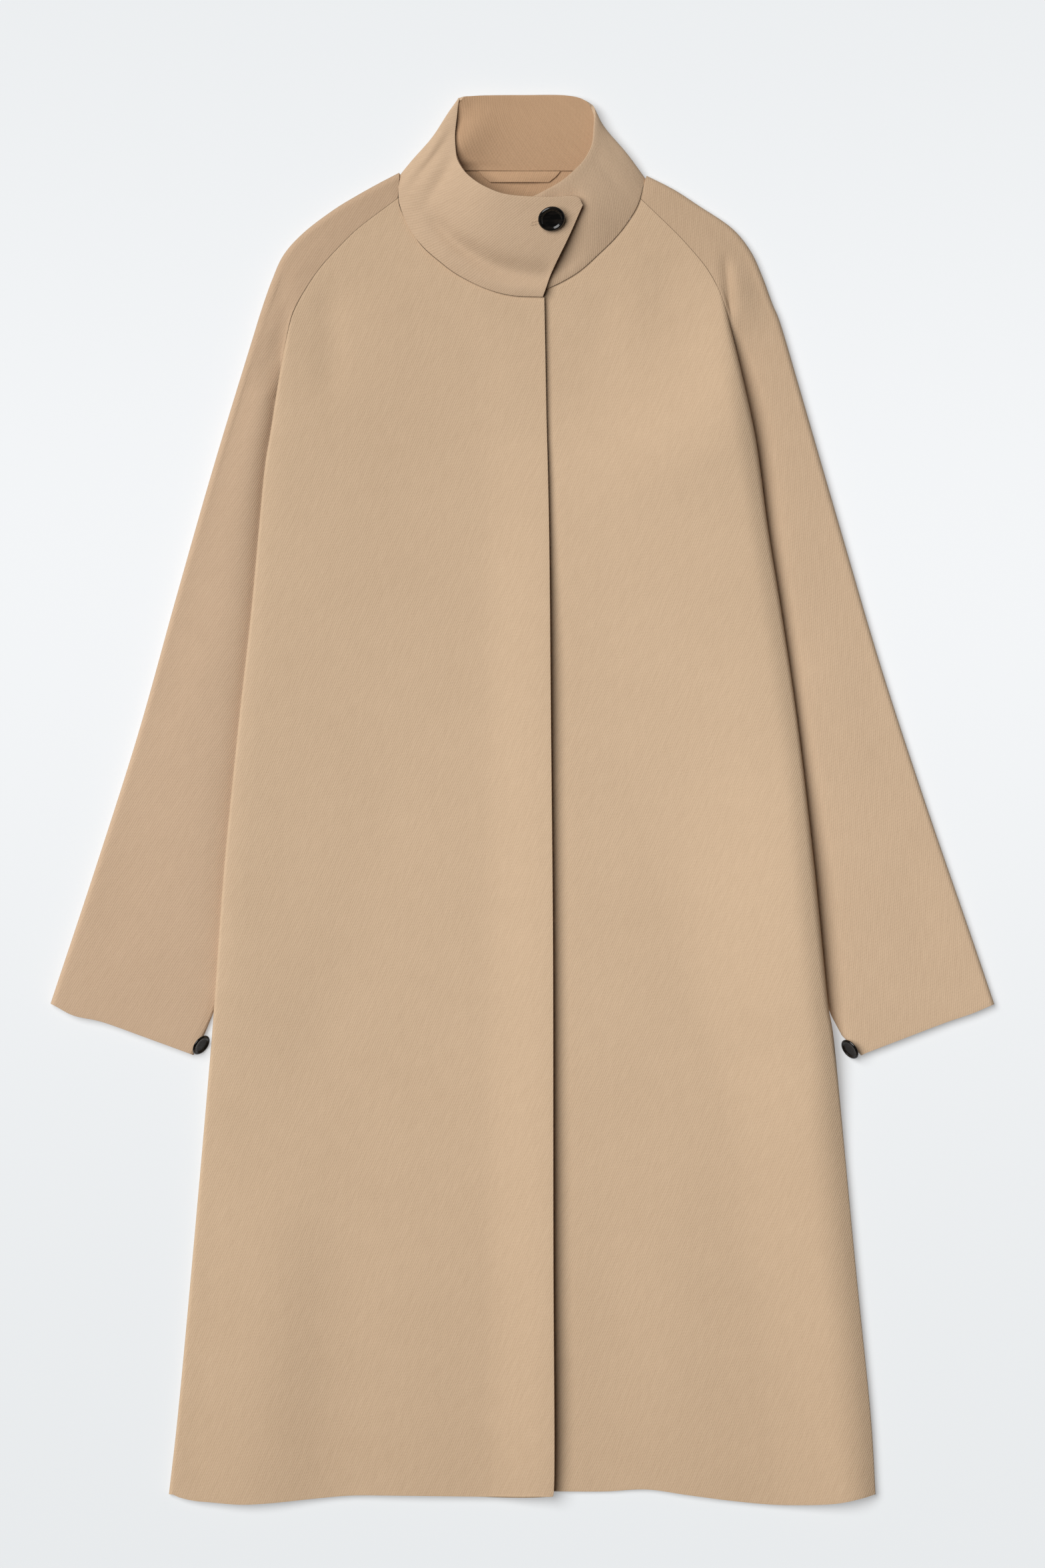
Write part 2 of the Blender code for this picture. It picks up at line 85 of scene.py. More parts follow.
def smooth_step(padded, index, share):
    before, start, end, after = padded[index:index + 4]
    square = 2 * before - 5 * start + 4 * end - after
    cube = 3 * start - before - 3 * end + after
    return 0.5 * (2 * start + (end - before) * share + square * share ** 2 + cube * share ** 3)


def run_of(points):
    """How far along a line of points each of them lies."""
    steps = np.linalg.norm(np.diff(points, axis=0), axis=1)
    return np.concatenate([[0.0], np.cumsum(steps)])


def table_value(table, column, y):
    return float(np.interp(y, table["y"][::-1], table[column][::-1]))


def ease(share):
    held = np.clip(share, 0.0, 1.0)
    return held * held * (3 - 2 * held)


class Shade:
    """A socket of a material, so that its sums are written as sums."""

    def __init__(self, tree, socket=None):
        self.tree = tree
        self.socket = socket

    def node(self, kind, settings, sockets, output=0):
        """Any other node: its settings first, then the values or links of its sockets."""
        made = self.tree.nodes.new(kind)
        for name, value in settings.items():
            setattr(made, name, value)
        for key, value in sockets.items():
            if isinstance(value, Shade):
                self.tree.links.new(value.socket, made.inputs[key])
            else:
                made.inputs[key].default_value = value
        return Shade(self.tree, made.outputs[output])

    def sum_node(self, operation, first, second):
        return self.node("ShaderNodeMath", {"operation": operation}, {0: first, 1: second})

    def __add__(self, other):
        return self.sum_node("ADD", self, other)

    def __sub__(self, other):
        return self.sum_node("SUBTRACT", self, other)

    def __rsub__(self, other):
        return self.sum_node("SUBTRACT", other, self)

    def __mul__(self, other):
        return self.sum_node("MULTIPLY", self, other)

    def __truediv__(self, other):
        return self.sum_node("DIVIDE", self, other)

    __radd__ = __add__
    __rmul__ = __mul__


WOOL_DEEP = (0.500, 0.354, 0.228, 1.0)
WOOL_PALE = (0.700, 0.519, 0.351, 1.0)
WOOL_ROUGHNESS = 0.84
FIBRE_ROUGHNESS = 0.12
TWILL_PITCH = 0.0017
FLOAT_LENGTH = 0.0031
FLOAT_STEP = 4.1
RIDGE_WANDER = 5.0
RIDGE_SHARE = 0.5
FLOAT_SHARE = 0.3
# Noise scale and detail of the ridges' wander, the patchy colour, the fibres and the long streaks
WANDER_NOISE = (55.0, 2.0)
PATCH_NOISE = (14.0, 2.0)
FIBRE_NOISE = (750.0, 3.0)
STREAK_NOISE = (1.0, 3.0)
STREAKS_ACROSS = 420.0
STREAKS_ALONG = 60.0
# How much of each shows in the colour of the cloth and in its relief
TONE = {"base_tone_and_painted_falloff": 0.54, "weave": 0.16, "streak": 0.34, "patch": 0.14, "fibre": 0.42}
RELIEF = {"weave": 0.5, "streak": 0.3, "fibre": 0.7}
RELIEF_HEIGHT = 0.00035
RELIEF_STRENGTH = 0.55
# Painted shade: the wool's colour darkens towards the shoulders and the hem, standing in for the light
# falling off there
PAINTED_FALLOFF = 0.9
MIX_FACTOR, MIX_FIRST, MIX_SECOND, MIX_RESULT = 0, 6, 7, 2
COLOUR_MIX = {"data_type": "RGBA", "clamp_factor": True}


def new_finish(name):
    made = bpy.data.materials.new(name)
    made.use_nodes = True
    return made, Shade(made.node_tree), made.node_tree.nodes["Principled BSDF"].inputs


def wool_twill(name, slant, painted_shade, painted_falloff):
    """Wool twill whose ridges rise at a slant, in degrees, on the flat cut of the panel. Its colour is
    multiplied by a painted shade and darkened by a painted falloff up and down the cut.
    """
    made, start, shader = new_finish(name)
    cut = start.node("ShaderNodeUVMap", {"uv_map": "cut"}, {})
    turn = (0, 0, math.radians(90 - slant))
    turned = start.node("ShaderNodeMapping", {}, {"Vector": cut, "Rotation": turn})
    across = start.node("ShaderNodeSeparateXYZ", {}, {0: turned}, 0)
    along = start.node("ShaderNodeSeparateXYZ", {}, {0: turned}, 1)

    def speckle(vector, scale, detail):
        sockets = {"Vector": vector, "Scale": scale, "Detail": detail}
        return start.node("ShaderNodeTexNoise", {"noise_dimensions": "2D"}, sockets)

    def wave(run):
        return start.node("ShaderNodeMath", {"operation": "SINE"}, {0: run})

    wander = speckle(cut, *WANDER_NOISE)
    ridge = wave(across * (2 * math.pi / TWILL_PITCH) + wander * RIDGE_WANDER)
    floats = wave(along * (2 * math.pi / FLOAT_LENGTH) + across * (FLOAT_STEP / TWILL_PITCH))
    sockets = {0: across * STREAKS_ACROSS, 1: along * STREAKS_ALONG}
    stretched = start.node("ShaderNodeCombineXYZ", {}, sockets)
    streak = speckle(stretched, *STREAK_NOISE)
    patch = speckle(cut, *PATCH_NOISE)
    fibre = speckle(cut, *FIBRE_NOISE)
    weave = ridge * RIDGE_SHARE + ridge * floats * FLOAT_SHARE
    up_cut = start.node("ShaderNodeSeparateXYZ", {}, {0: cut}, 1)
    # Painted shade: the tone darkens with the square of the height on the cut, for the light's falloff
    # towards shoulders and hem
    base_tone_and_painted_falloff = TONE["base_tone_and_painted_falloff"] - up_cut * up_cut * painted_falloff
    tone = base_tone_and_painted_falloff + weave * TONE["weave"] + (streak - 0.5) * TONE["streak"]
    tone = tone + (patch - 0.5) * TONE["patch"] + (fibre - 0.5) * TONE["fibre"]
    deep, pale = [tuple(np.array(wool) * (*painted_shade, 1.0)) for wool in (WOOL_DEEP, WOOL_PALE)]
    colours = {MIX_FACTOR: tone, MIX_FIRST: deep, MIX_SECOND: pale}
    colour = start.node("ShaderNodeMix", COLOUR_MIX, colours, MIX_RESULT)
    relief = weave * RELIEF["weave"] + streak * RELIEF["streak"] + fibre * RELIEF["fibre"]
    sockets = {"Height": relief, "Strength": RELIEF_STRENGTH, "Distance": RELIEF_HEIGHT}
    bump = start.node("ShaderNodeBump", {}, sockets)
    roughness = WOOL_ROUGHNESS + fibre * FIBRE_ROUGHNESS
    start.tree.links.new(colour.socket, shader["Base Color"])
    start.tree.links.new(roughness.socket, shader["Roughness"])
    start.tree.links.new(bump.socket, shader["Normal"])
    shader["Diffuse Roughness"].default_value = 0.2
    shader["Specular IOR Level"].default_value = 0.18
    return made


SEAM_SOFTNESS = 0.3
MERGE_DISTANCE = 0.000001
PLAIN_TINT = (1.0, 1.0, 1.0)
# Painted shade: the wool inside the neck is darkened and warmed, standing in for the shade and warm
# bounced light in that hollow
INSIDE_PAINTED_SHADE = (0.81, 0.71, 0.635)


def cloth_piece(
        name, points, cut, wall, slant, free_rows=(), free_columns=(), edge_softness=0.8,
        painted_shades=(PLAIN_TINT, PLAIN_TINT), painted_falloff=PAINTED_FALLOFF):
    """A panel: a grid moved to its sewn place, then given the thickness of its cloth. Its free edges
    are rounded by the edge softness, and its sewn ones only slightly. The painted shades are the colour
    factors of its two faces."""
    rows, columns = points.shape[:2]
    shape = bmesh.new()
    bmesh.ops.create_grid(shape, x_segments=columns - 1, y_segments=rows - 1, size=0.5)
    weave = shape.loops.layers.uv.new("cut")
    places = {}
    for vert in shape.verts:
        row = round((0.5 - vert.co.y) * (rows - 1))
        column = round((vert.co.x + 0.5) * (columns - 1))
        places[vert] = (row, column)
    for face in shape.faces:
        face.smooth = True
        for corner in face.loops:
            corner[weave].uv = cut[places[corner.vert]] * MM
    for vert, place in places.items():
        vert.co = points[place] * MM
    bmesh.ops.remove_doubles(shape, verts=shape.verts, dist=MERGE_DISTANCE)
    rounding = shape.edges.layers.float.new("bevel_weight_edge")
    for edge in shape.edges:
        if edge.is_boundary:
            (first_row, first_column), (second_row, second_column) = [places[vert] for vert in edge.verts]
            free = first_row == second_row and first_row in free_rows
            free = free or first_column == second_column and first_column in free_columns
            edge[rounding] = 1.0 if free else SEAM_SOFTNESS / edge_softness
    mesh = bpy.data.meshes.new(name)
    shape.to_mesh(mesh)
    shape.free()
    for painted_shade, face in zip(painted_shades, ("_twill", "_twill_other_face")):
        mesh.materials.append(wool_twill(name + face, slant, painted_shade, painted_falloff))
    piece = bpy.data.objects.new(name, mesh)
    bpy.context.scene.collection.objects.link(piece)
    solid = piece.modifiers.new("cloth_wall", "SOLIDIFY")
    solid.thickness = wall * MM
    solid.offset = 0.0
    solid.use_even_offset = True
    solid.use_quality_normals = True
    solid.material_offset = 1
    solid.material_offset_rim = 1
    soft = piece.modifiers.new("soft_edges", "BEVEL")
    soft.limit_method = "WEIGHT"
    soft.width = edge_softness * MM
    soft.segments = 3
    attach(piece, "root")
    return piece


def back_edge(side):
    above = curve_through(BACK_RAGLAN[side], np.linspace(0, 1, BACK_RAGLAN_ROWS))
    inset = np.interp(above[:, 1], RAGLAN_INSET["y"], RAGLAN_INSET["inset"])
    below_y = np.linspace(BACK_SIDE_TOP, BACK_HEM_Y, BACK_SIDE_ROWS)
    below = [table_value(SIDE_SEAM, side, min(y, UNDERARM_Y)) for y in below_y]
    tuck = np.interp(below_y, SIDE_TUCK["y"], SIDE_TUCK["tuck"])
    upper = np.column_stack([above[:, 0] - inset, above[:, 1]])
    lower = np.column_stack([np.array(below) - tuck, below_y])
    return np.vstack([upper, lower])


back_sides = {side: back_edge(side) for side in SIGN}
back_shares = np.linspace(0, 1, BACK_COLUMNS)[None, :, None]
right_line = back_sides["right"][:, None, :] * (-1, 1)
left_line = back_sides["left"][:, None, :]
back_plan = right_line + (left_line - right_line) * back_shares
back_drop = np.interp(back_plan[..., 0], BACK_HEM_DROP["x"], BACK_HEM_DROP["drop"])
back_plan[..., 1] -= back_drop * ease(1 - (back_plan[..., 1] - BACK_HEM_Y) / BACK_HEM_REACH)
back_level = np.full(back_plan.shape[:2] + (1,), BODY_WALL / 2)
# One face of the back carries the painted shade of the inside of the neck.
back = cloth_piece(
    "coat_back", np.dstack([back_plan, back_level]), back_plan, BODY_WALL, BODY_SLANT,
    free_rows=[len(back_plan) - 1], painted_shades=(INSIDE_PAINTED_SHADE, PLAIN_TINT))
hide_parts("back")

# Fronts: the two big flared panels, right over left at the middle, where the hidden fastening makes
# one clean folded edge. Each rolls over at the side in a soft fold and goes back under to the side
# seam, so the sleeve lies in the fold. Their weight sets soft flutes down to the hem.
SEAM_GAP = 0.36
PLEAT_START = {"right": 415.0, "left": 438.0}
PLEAT_FULL = {"right": 340.0, "left": 362.0}
SEAM_ROWS = (512, 489, 466, 443, 424, 408, 392, 376, 358, 340, 315, 290, 265)
FALL_ROWS = (250, 225, 180, 130, 75, 15, -45, -105, -165, -215, -265, -330, -400, -465, -530, -570, -591)
FRONT_SIDE = {
    "y": (
        512, 489, 476, 454, 435, 416, 396, 360, 315, 281, 228, 158, 60, -60, -170, -215, -397, -520, -591,
    ),
    "right": (
        106.0, 136.6, 150.8, 171.2, 184.3, 194.5, 200.0, 207.0, 214.0, 219.4, 224.5, 231.0, 242.0, 254.0,
        262.0, 265.4, 281.5, 293.0, 301.0,
    ),
    "left": (
        100.0, 124.0, 136.8, 155.5, 166.4, 173.2, 178.5, 187.0, 196.8, 202.2, 209.2, 220.5, 234.7, 248.5,
        259.5, 266.0, 283.5, 296.0, 300.5,
    ),
}
# Level of each front inside its side fold, level of each layer turned under it, and width of the climb
FRONT_LEVEL = {
    "y": (512, 476, 435, 396, 340, 265, 58, -60, -165, -290, -600),
    "right": (9.8, 10.1, 11.2, 13.2, 15.5, 15.5, 15.5, 15.5, 15.5, 7.0, 7.0),
    "left": (9.2, 10.0, 12.4, 20.0, 33.5, 28.0, 23.5, 32.0, 29.5, 18.5, 18.5),
    "right_under": (4.0, 5.2, 7.0, 8.5, 10.5, 10.5, 10.5, 10.5, 10.5, 1.0, 1.0),
    "left_under": (4.0, 5.2, 7.0, 8.5, 9.5, 9.5, 9.5, 9.5, 9.5, 4.5, 4.5),
    "reach": (110, 150, 190, 215, 232, 236, 152, 130, 110, 95, 90),
}
SLEEVE_INNER = {
    "y": (265, -182, -200, -217),
    "right": (125.0, 263.4, 270.8, 280.0),
    "left": (112.0, 262.0, 271.5, 288.0),
}
FRONT_NECK = {
    "right": (
        (18.6, 427.5), (-10.8, 429.2), (-33.2, 435.7), (-55.6, 446.8), (-70.9, 458.1), (-85.8, 471.4),
        (-97, 488.2), (-104, 503), (-106, 512),
    ),
    "left": (
        (-20, 424), (0, 428), (21.5, 434.9), (45.9, 447.9), (64.6, 463.8), (81.6, 480.8), (94.7, 499.5),
        (100, 512),
    ),
}
FRONT_EDGE = {
    "right": (
        (18.6, 427.5), (20.4, 329), (22.7, 227), (24.4, 50), (26, -130), (26.3, -385), (27.2, -540),
        (26.6, -588), (24, -592.5),
    ),
    "left": ((-20, 424), (-20, 300), (-20, 100), (-20, -200), (-20, -588)),
}
FRONT_HEM = {
    "right": (
        (24, -592.5), (-10, -593.1), (-61, -592.5), (-112, -591.9), (-146, -591.9), (-180, -594.8),
        (-214, -598.2), (-240, -599.5), (-265, -597.6), (-282, -595.9), (-301, -591),
    ),
    "left": (
        (-20, -588), (37, -588.5), (71, -588.5), (105.5, -586.8), (139.5, -591.4), (173.5, -595.9),
        (207.5, -599.3), (233, -600), (258.6, -599.3), (275.6, -597.1), (300.5, -591),
    ),
}
FRONT_EDGE_HEIGHT = {"y": (428, 280, -600), "right": (13.5, 8.6, 8.6), "left": (8.5, 4.2, 4.2)}
FRONT_DIP = {"right": 2.4, "left": 0.0}
# How far each front bends down towards its side fold, and over what width
ROLL_OFF = {
    "y": (512, 400, 340, -165, -290, -600),
    "right": (0, 0.3, 0.8, 0.8, 0.8, 0.8),
    "left": (0, 1.5, 4.3, 4.3, 11.0, 11.0),
    "width": (12, 14, 16, 17, 30, 30),
}
# How far the lapped edge stands off the front below it, growing to the hem
FRONT_LIP = {
    "y": (430, 380, 284, 0, -400, -550, -600),
    "right": (0, 5.0, 7.6, 7.2, 10.4, 11.2, 7.0),
    "left": (0, 0, 0, 0, 0, 0, 0),
}
LIP_WIDTH = 60.0
DIP_PEAK = 27 / 4
DIP_START_SHARE = 0.12
HEM_TOP_SHARE = 0.985
FRONT_ROWS = 190
FRONT_COLUMNS = 74
FOLD_STEPS = 12
UNDER_STEPS = 22
# Soft creases, each along a line in plan: x and y of its start and end, half_width, rise, runs_out
FRONT_CREASES = {
    "right": (
        (-205, -300, -228, -600, 42, 3.2, True),
        (-160, -270, -166, -600, 30, -1.2, True),
        (-95, -330, -80, -600, 45, 1.6, True),
        (-163, 450, -163, 330, 15, -2.0, False),
        (-72, 442, -14, 338, 18, -1.0, False),
        (-118, 452, -105, 330, 20, 0.8, False),
        (-60, 190, -150, -60, 46, 0.7, False),
        (-20, 40, -40, -260, 34, -0.6, False),
        (-190, 120, -214, -160, 30, -0.7, False),
    ),
    "left": (
        (70, -300, 66, -600, 30, -0.8, True),
        (125, -250, 150, -600, 40, 2.0, True),
        (160, -260, 262, -600, 32, -1.2, True),
        (190, -260, 225, -600, 34, 2.4, True),
        (122, 470, 124, 410, 15, -1.2, False),
        (72, 440, 62, 372, 16, -0.9, False),
        (96, 452, 92, 330, 18, 0.8, False),
        (150, 150, 178, -150, 34, -0.6, False),
        (90, 90, 120, -200, 40, 0.6, False),
    ),
}
CREASE_FADE = 0.3
CREASE_MARGIN = 0.1
CLOTH_LIE_SIZE = 58.0
CLOTH_LIE_STRETCH = 1.6
CLOTH_LIE_RISE = 0.35
SIDE_LINE_STEPS = 400
# Shifts over which the tables' values are averaged, so that the cloth bends softly
SOFTENING = (-24, -12, 0, 12, 24)
# The layer turned under: width of its drop to the seam, share of that left flat, and its least room
UNDER_DROP = 14.0
UNDER_FLAT_SHARE = 1 / 7
UNDER_LEVEL = 4.0
UNDER_SLEEVE_ROOM = 1.0
UNDER_SEAM_FLAT = 2.0


def finer(values, count):
    return np.interp(np.linspace(0, len(values) - 1, count), np.arange(len(values)), values)


def soft_table_value(table, column, y):
    return float(np.mean([table_value(table, column, y + shift) for shift in SOFTENING]))


def crease_rise(creases, x, y):
    """How far a panel's soft creases lift or lower the cloth at a place in plan."""
    total = 0.0
    for x_start, y_start, x_end, y_end, half_width, rise, runs_out in creases:
        run = np.array((x_end - x_start, y_end - y_start))
        length = np.linalg.norm(run)
        along = ((x - x_start) * run[0] + (y - y_start) * run[1]) / length ** 2
        aside = ((x - x_start) * run[1] - (y - y_start) * run[0]) / length
        fade = ease(along / CREASE_FADE)
        if not runs_out:
            fade = fade * ease((1 - along) / CREASE_FADE)
        total += rise * fade * math.exp(-(aside / half_width) ** 2)
    return total


def cloth_lie(x, y, seed):
    """The slight unevenness of cloth that was smoothed out by hand."""
    place = Vector((x / CLOTH_LIE_SIZE, y / (CLOTH_LIE_STRETCH * CLOTH_LIE_SIZE), seed))
    return CLOTH_LIE_RISE * noise.noise(place)


def side_line(side):
    pairs = list(zip(FRONT_SIDE["y"], FRONT_SIDE[side]))
    fine = curve_through(pairs, np.linspace(0, 1, SIDE_LINE_STEPS))
    return fine[::-1, 0], fine[::-1, 1]


SIDE_LINES = {side: side_line(side) for side in SIGN}


def roll_at(side, y):
    start = PLEAT_START[side]
    return min(1.0, max(0.0, (start - y) / (start - PLEAT_FULL[side])))


def side_frame(side, y):
    """The side fold at one height: where it starts, the level inside it, its drop, its slope where it
    starts, how far round it turns, and its radius."""
    out = float(np.interp(y, *SIDE_LINES[side]))
    roll = roll_at(side, y)
    turn = math.pi * roll
    height = soft_table_value(FRONT_LEVEL, side, y)
    drop = soft_table_value(ROLL_OFF, side, y) * roll
    slope = math.atan(2 * drop / soft_table_value(ROLL_OFF, "width", y))
    radius = (height - drop - soft_table_value(FRONT_LEVEL, side + "_under", y)) / (1 + math.cos(slope))
    lean = math.sin(min(turn, math.pi / 2))
    inset = SEAM_GAP / 2 + (BODY_WALL / 2 - SEAM_GAP / 2) * lean
    start = out - inset - radius * max(0.0, lean - math.sin(slope))
    return start, height, drop, slope, turn, radius


def fold_point(fold, angle):
    start, height, drop, slope, turn, radius = fold
    x = start + radius * (math.sin(angle) - math.sin(slope))
    return x, height - drop - radius * (math.cos(slope) - math.cos(angle))


def under_edge(side, y):
    if y >= UNDERARM_Y:
        fold = side_frame(side, y)
        turned_x = fold_point(fold, fold[4])[0]
        share = (PLEAT_FULL[side] - y) / (PLEAT_FULL[side] - UNDERARM_Y)
        target = table_value(SLEEVE_INNER, side, UNDERARM_Y) - SLEEVE_TUCK
        return turned_x + (target - turned_x) * max(0.0, share)
    return table_value(SIDE_SEAM, side, y)


def under_points(side, y):
    """The layer turned under the fold: level at first, then down to the side seam."""
    fold = side_frame(side, y)
    turned = fold_point(fold, fold[4])
    if y >= PLEAT_FULL[side]:
        return [turned] * UNDER_STEPS
    start, high = turned
    edge = under_edge(side, y)
    low = BODY_WALL / 2
    if y >= UNDERARM_Y:
        drop_start = edge + min(UNDER_DROP, (start - edge) / 2)
        drop_end = edge + (drop_start - edge) * UNDER_FLAT_SHARE
        low = high
    else:
        drop_start = min(start - UNDER_LEVEL, table_value(SLEEVE_INNER, side, y) + UNDER_SLEEVE_ROOM)
        drop_end = edge + UNDER_SEAM_FLAT
    half = UNDER_STEPS // 2
    level = np.linspace(start, drop_start, half + 1)[1:]
    falling = np.linspace(drop_start, drop_end, UNDER_STEPS - half)[1:]
    places = np.concatenate([level, falling, [edge]])
    fall = ease((drop_start - places) / (drop_start - drop_end))
    return list(zip(places, high + (low - high) * fall))


def front_points(side):
    sign = SIGN[side]
    heights = finer(SEAM_ROWS + FALL_ROWS, FRONT_ROWS)
    frames = [side_frame(side, y) for y in heights]
    outer = np.array([(sign * frame[0], y) for frame, y in zip(frames, heights)])
    down = run_of(outer) / run_of(outer)[-1]
    across = np.linspace(0, 1, FRONT_COLUMNS)
    neck = curve_through(FRONT_NECK[side], across)
    neck[-1] = outer[0]
    hem = curve_through(FRONT_HEM[side], across * HEM_TOP_SHARE)
    hem[-1] = outer[-1]
    edge = curve_through(FRONT_EDGE[side], down)
    inward = (1 - across)[:, None]
    outward = across[:, None]
    points = []
    cuts = []
    for y, share, inner, far, fold in zip(heights, down, edge, outer, frames):
        start, height, drop, bend, turn = fold[:5]
        ruled = (1 - share) * neck + share * hem + inward * inner + outward * far
        neck_corners = inward * neck[0] + outward * neck[-1]
        hem_corners = inward * hem[0] + outward * hem[-1]
        plan = ruled - (1 - share) * neck_corners - share * hem_corners
        base = soft_table_value(FRONT_EDGE_HEIGHT, side, inner[1])
        reach = soft_table_value(FRONT_LEVEL, "reach", y)
        from_side = np.linalg.norm(plan - plan[-1], axis=1)
        from_edge = np.linalg.norm(plan - plan[0], axis=1)
        slope = 1 - ease(from_side / reach)
        dip = FRONT_DIP[side] * DIP_PEAK * across * (1 - across) ** 2 * min(1.0, share / DIP_START_SHARE)
        level = base + (height - base) * slope - dip
        level -= drop * np.clip(1 - from_side / soft_table_value(ROLL_OFF, "width", y), 0.0, 1.0) ** 2
        level += soft_table_value(FRONT_LIP, side, y) * ease(1 - from_edge / LIP_WIDTH)
        margin = ease((1 - across) / CREASE_MARGIN)
        lie = [crease_rise(FRONT_CREASES[side], *place) + cloth_lie(*place, sign) for place in plan]
        row = list(np.column_stack([plan, level + np.array(lie) * margin]))
        for angle in np.linspace(bend, max(bend, turn), FOLD_STEPS + 1)[1:]:
            fold_x, fold_z = fold_point(fold, angle)
            row.append((sign * fold_x, y, fold_z))
        row += [(sign * place, y, lower) for place, lower in under_points(side, y)]
        beyond = run_of(np.array(row[FRONT_COLUMNS - 1:]))[1:]
        turned = np.column_stack([sign * (start + beyond), np.full(len(beyond), y)])
        points.append(row)
        cuts.append(np.vstack([plan, turned]))
    return np.array(points), np.array(cuts)


FRONT_CUT = {"right": ((0.363, 1.112), 0.339), "left": ((0.355, 1.112), 0.335)}
for side in SIGN:
    cloth_piece(
        "coat_front_" + side, *front_points(side), BODY_WALL, BODY_SLANT, free_rows=[FRONT_ROWS - 1],
        free_columns=[0])
    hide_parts("front_" + side)

# Sleeves: wide raglan sleeves cut in one with the shoulder, each sewn along a slanting seam to its
# front and to the back. They lie pressed flat beside the body, open at the cuff.
SLEEVE_WALL = 2.6
SLEEVE_RADIUS = 1.7
CUFF_RADIUS = {"right": 3.25, "left": 2.9}
SHOULDER_RADIUS = {"right": 4.2, "left": 3.7}
SHOULDER_BUNCHING = 0.62
SHOULDER_SHARE = 0.37
SHOULDER_SPREAD_SHARE = 0.4
# How far each sleeve swells up beside the fold of its front
SLEEVE_CROWN = {
    "y": (430, 340, 170, -60, -180),
    "right": (0, 10.0, 6.5, 2.4, 0),
    "left": (0, 0.8, 0.8, 0.5, 0),
}
CREASE_WIDTH = {"right": 12.5, "left": 11.0}
SHOULDER_LEVEL_SHARE = 0.4
CUFF_BOW = {"right": 3.6, "left": 1.0}
CUFF_BOW_PLACE = 0.86
CUFF_BOW_WIDTH = 0.14
CUFF_BOW_START = 0.7
CUFF_SPREAD_START = 0.9
SEAM_ROOM = 0.5
LEAST_BARED = 4.0
RAGLAN_ROWS = 90
TUBE_ROWS = 110
ARC_STEPS = 6
TOP_STEPS = 54
OUTER_STEPS = 14
BOTTOM_STEPS = 24
SLEEVE_RAGLAN = {
    "right": ((80, 536.9), (103, 470), (117, 390), (123, 320), (125, 265)),
    "left": ((80, 536.2), (98, 470), (108, 390), (111, 320), (112, 265)),
}
SLEEVE_OUTER = {
    "right": (
        (104.3, 534), (122, 525), (142, 513.7), (161, 502), (185.7, 483.3), (203, 464.4), (213, 442.8),
        (221.7, 418.4), (229, 395), (263, 283.5), (295.4, 170), (327, 56.7), (363, -56.7), (401.4, -172.5),
    ),
    "left": (
        (105.5, 531.3), (128.7, 519.4), (150.3, 505.2), (178, 486.5), (194, 467.2), (204, 445.7),
        (212.6, 422.4), (220, 403.7), (237, 345.9), (271.6, 226.8), (305, 113.4), (342, 0), (381, -113.4),
        (401.4, -173.5),
    ),
}
SLEEVE_CREASES = {
    "right": (
        (200, 452, 209, 362, 8, -1.8, False),
        (262, 150, 300, 20, 16, 0.8, False),
        (330, -40, 352, -150, 18, -0.7, False),
    ),
    "left": (
        (172, 470, 178, 404, 5, -3.2, False),
        (252, 160, 296, 10, 16, 0.8, False),
        (322, -30, 348, -150, 18, -0.7, False),
    ),
}
SLEEVE_SLANT = {"right": 58, "left": 86}
# Painted shade: each sleeve's colour is darkened a little, standing in for how the light falls on its nap
SLEEVE_PAINTED_SHADE = {"right": (0.945, 0.925, 0.935), "left": (0.975, 0.97, 0.975)}
# Painted shade falling off towards the shoulders, stronger on the sleeves than on the body
SLEEVE_PAINTED_FALLOFF = 1.6


def sleeve_seam(side, y):
    fold = side_frame(side, y)
    tip_x, tip_z = fold_point(fold, max(fold[3], fold[4]))
    if y < PLEAT_FULL[side]:
        tip_x = under_edge(side, y)
    roll = roll_at(side, y)
    tucked = SLEEVE_WALL / 2 + 2 * SLEEVE_RADIUS
    seam_x = tip_x + SEAM_GAP * (1 - roll) + SEAM_ROOM * math.sin(math.pi * roll)
    return seam_x, tip_z + (tucked - tip_z) * ease(roll)


def clear_of_front(side, place):
    return place[0] - float(np.interp(place[1], *SIDE_LINES[side]))


def quarter_turn(centre, heading, radius, upward):
    """The inner edge of the pressed tube, from its middle height to its top or bottom."""
    low = SLEEVE_WALL / 2
    turned = []
    for angle in np.linspace(0, math.pi / 2, ARC_STEPS + 1):
        place = centre - heading * radius * math.cos(angle)
        turned.append((place, low + radius * (1 + upward * math.sin(angle))))
    return turned


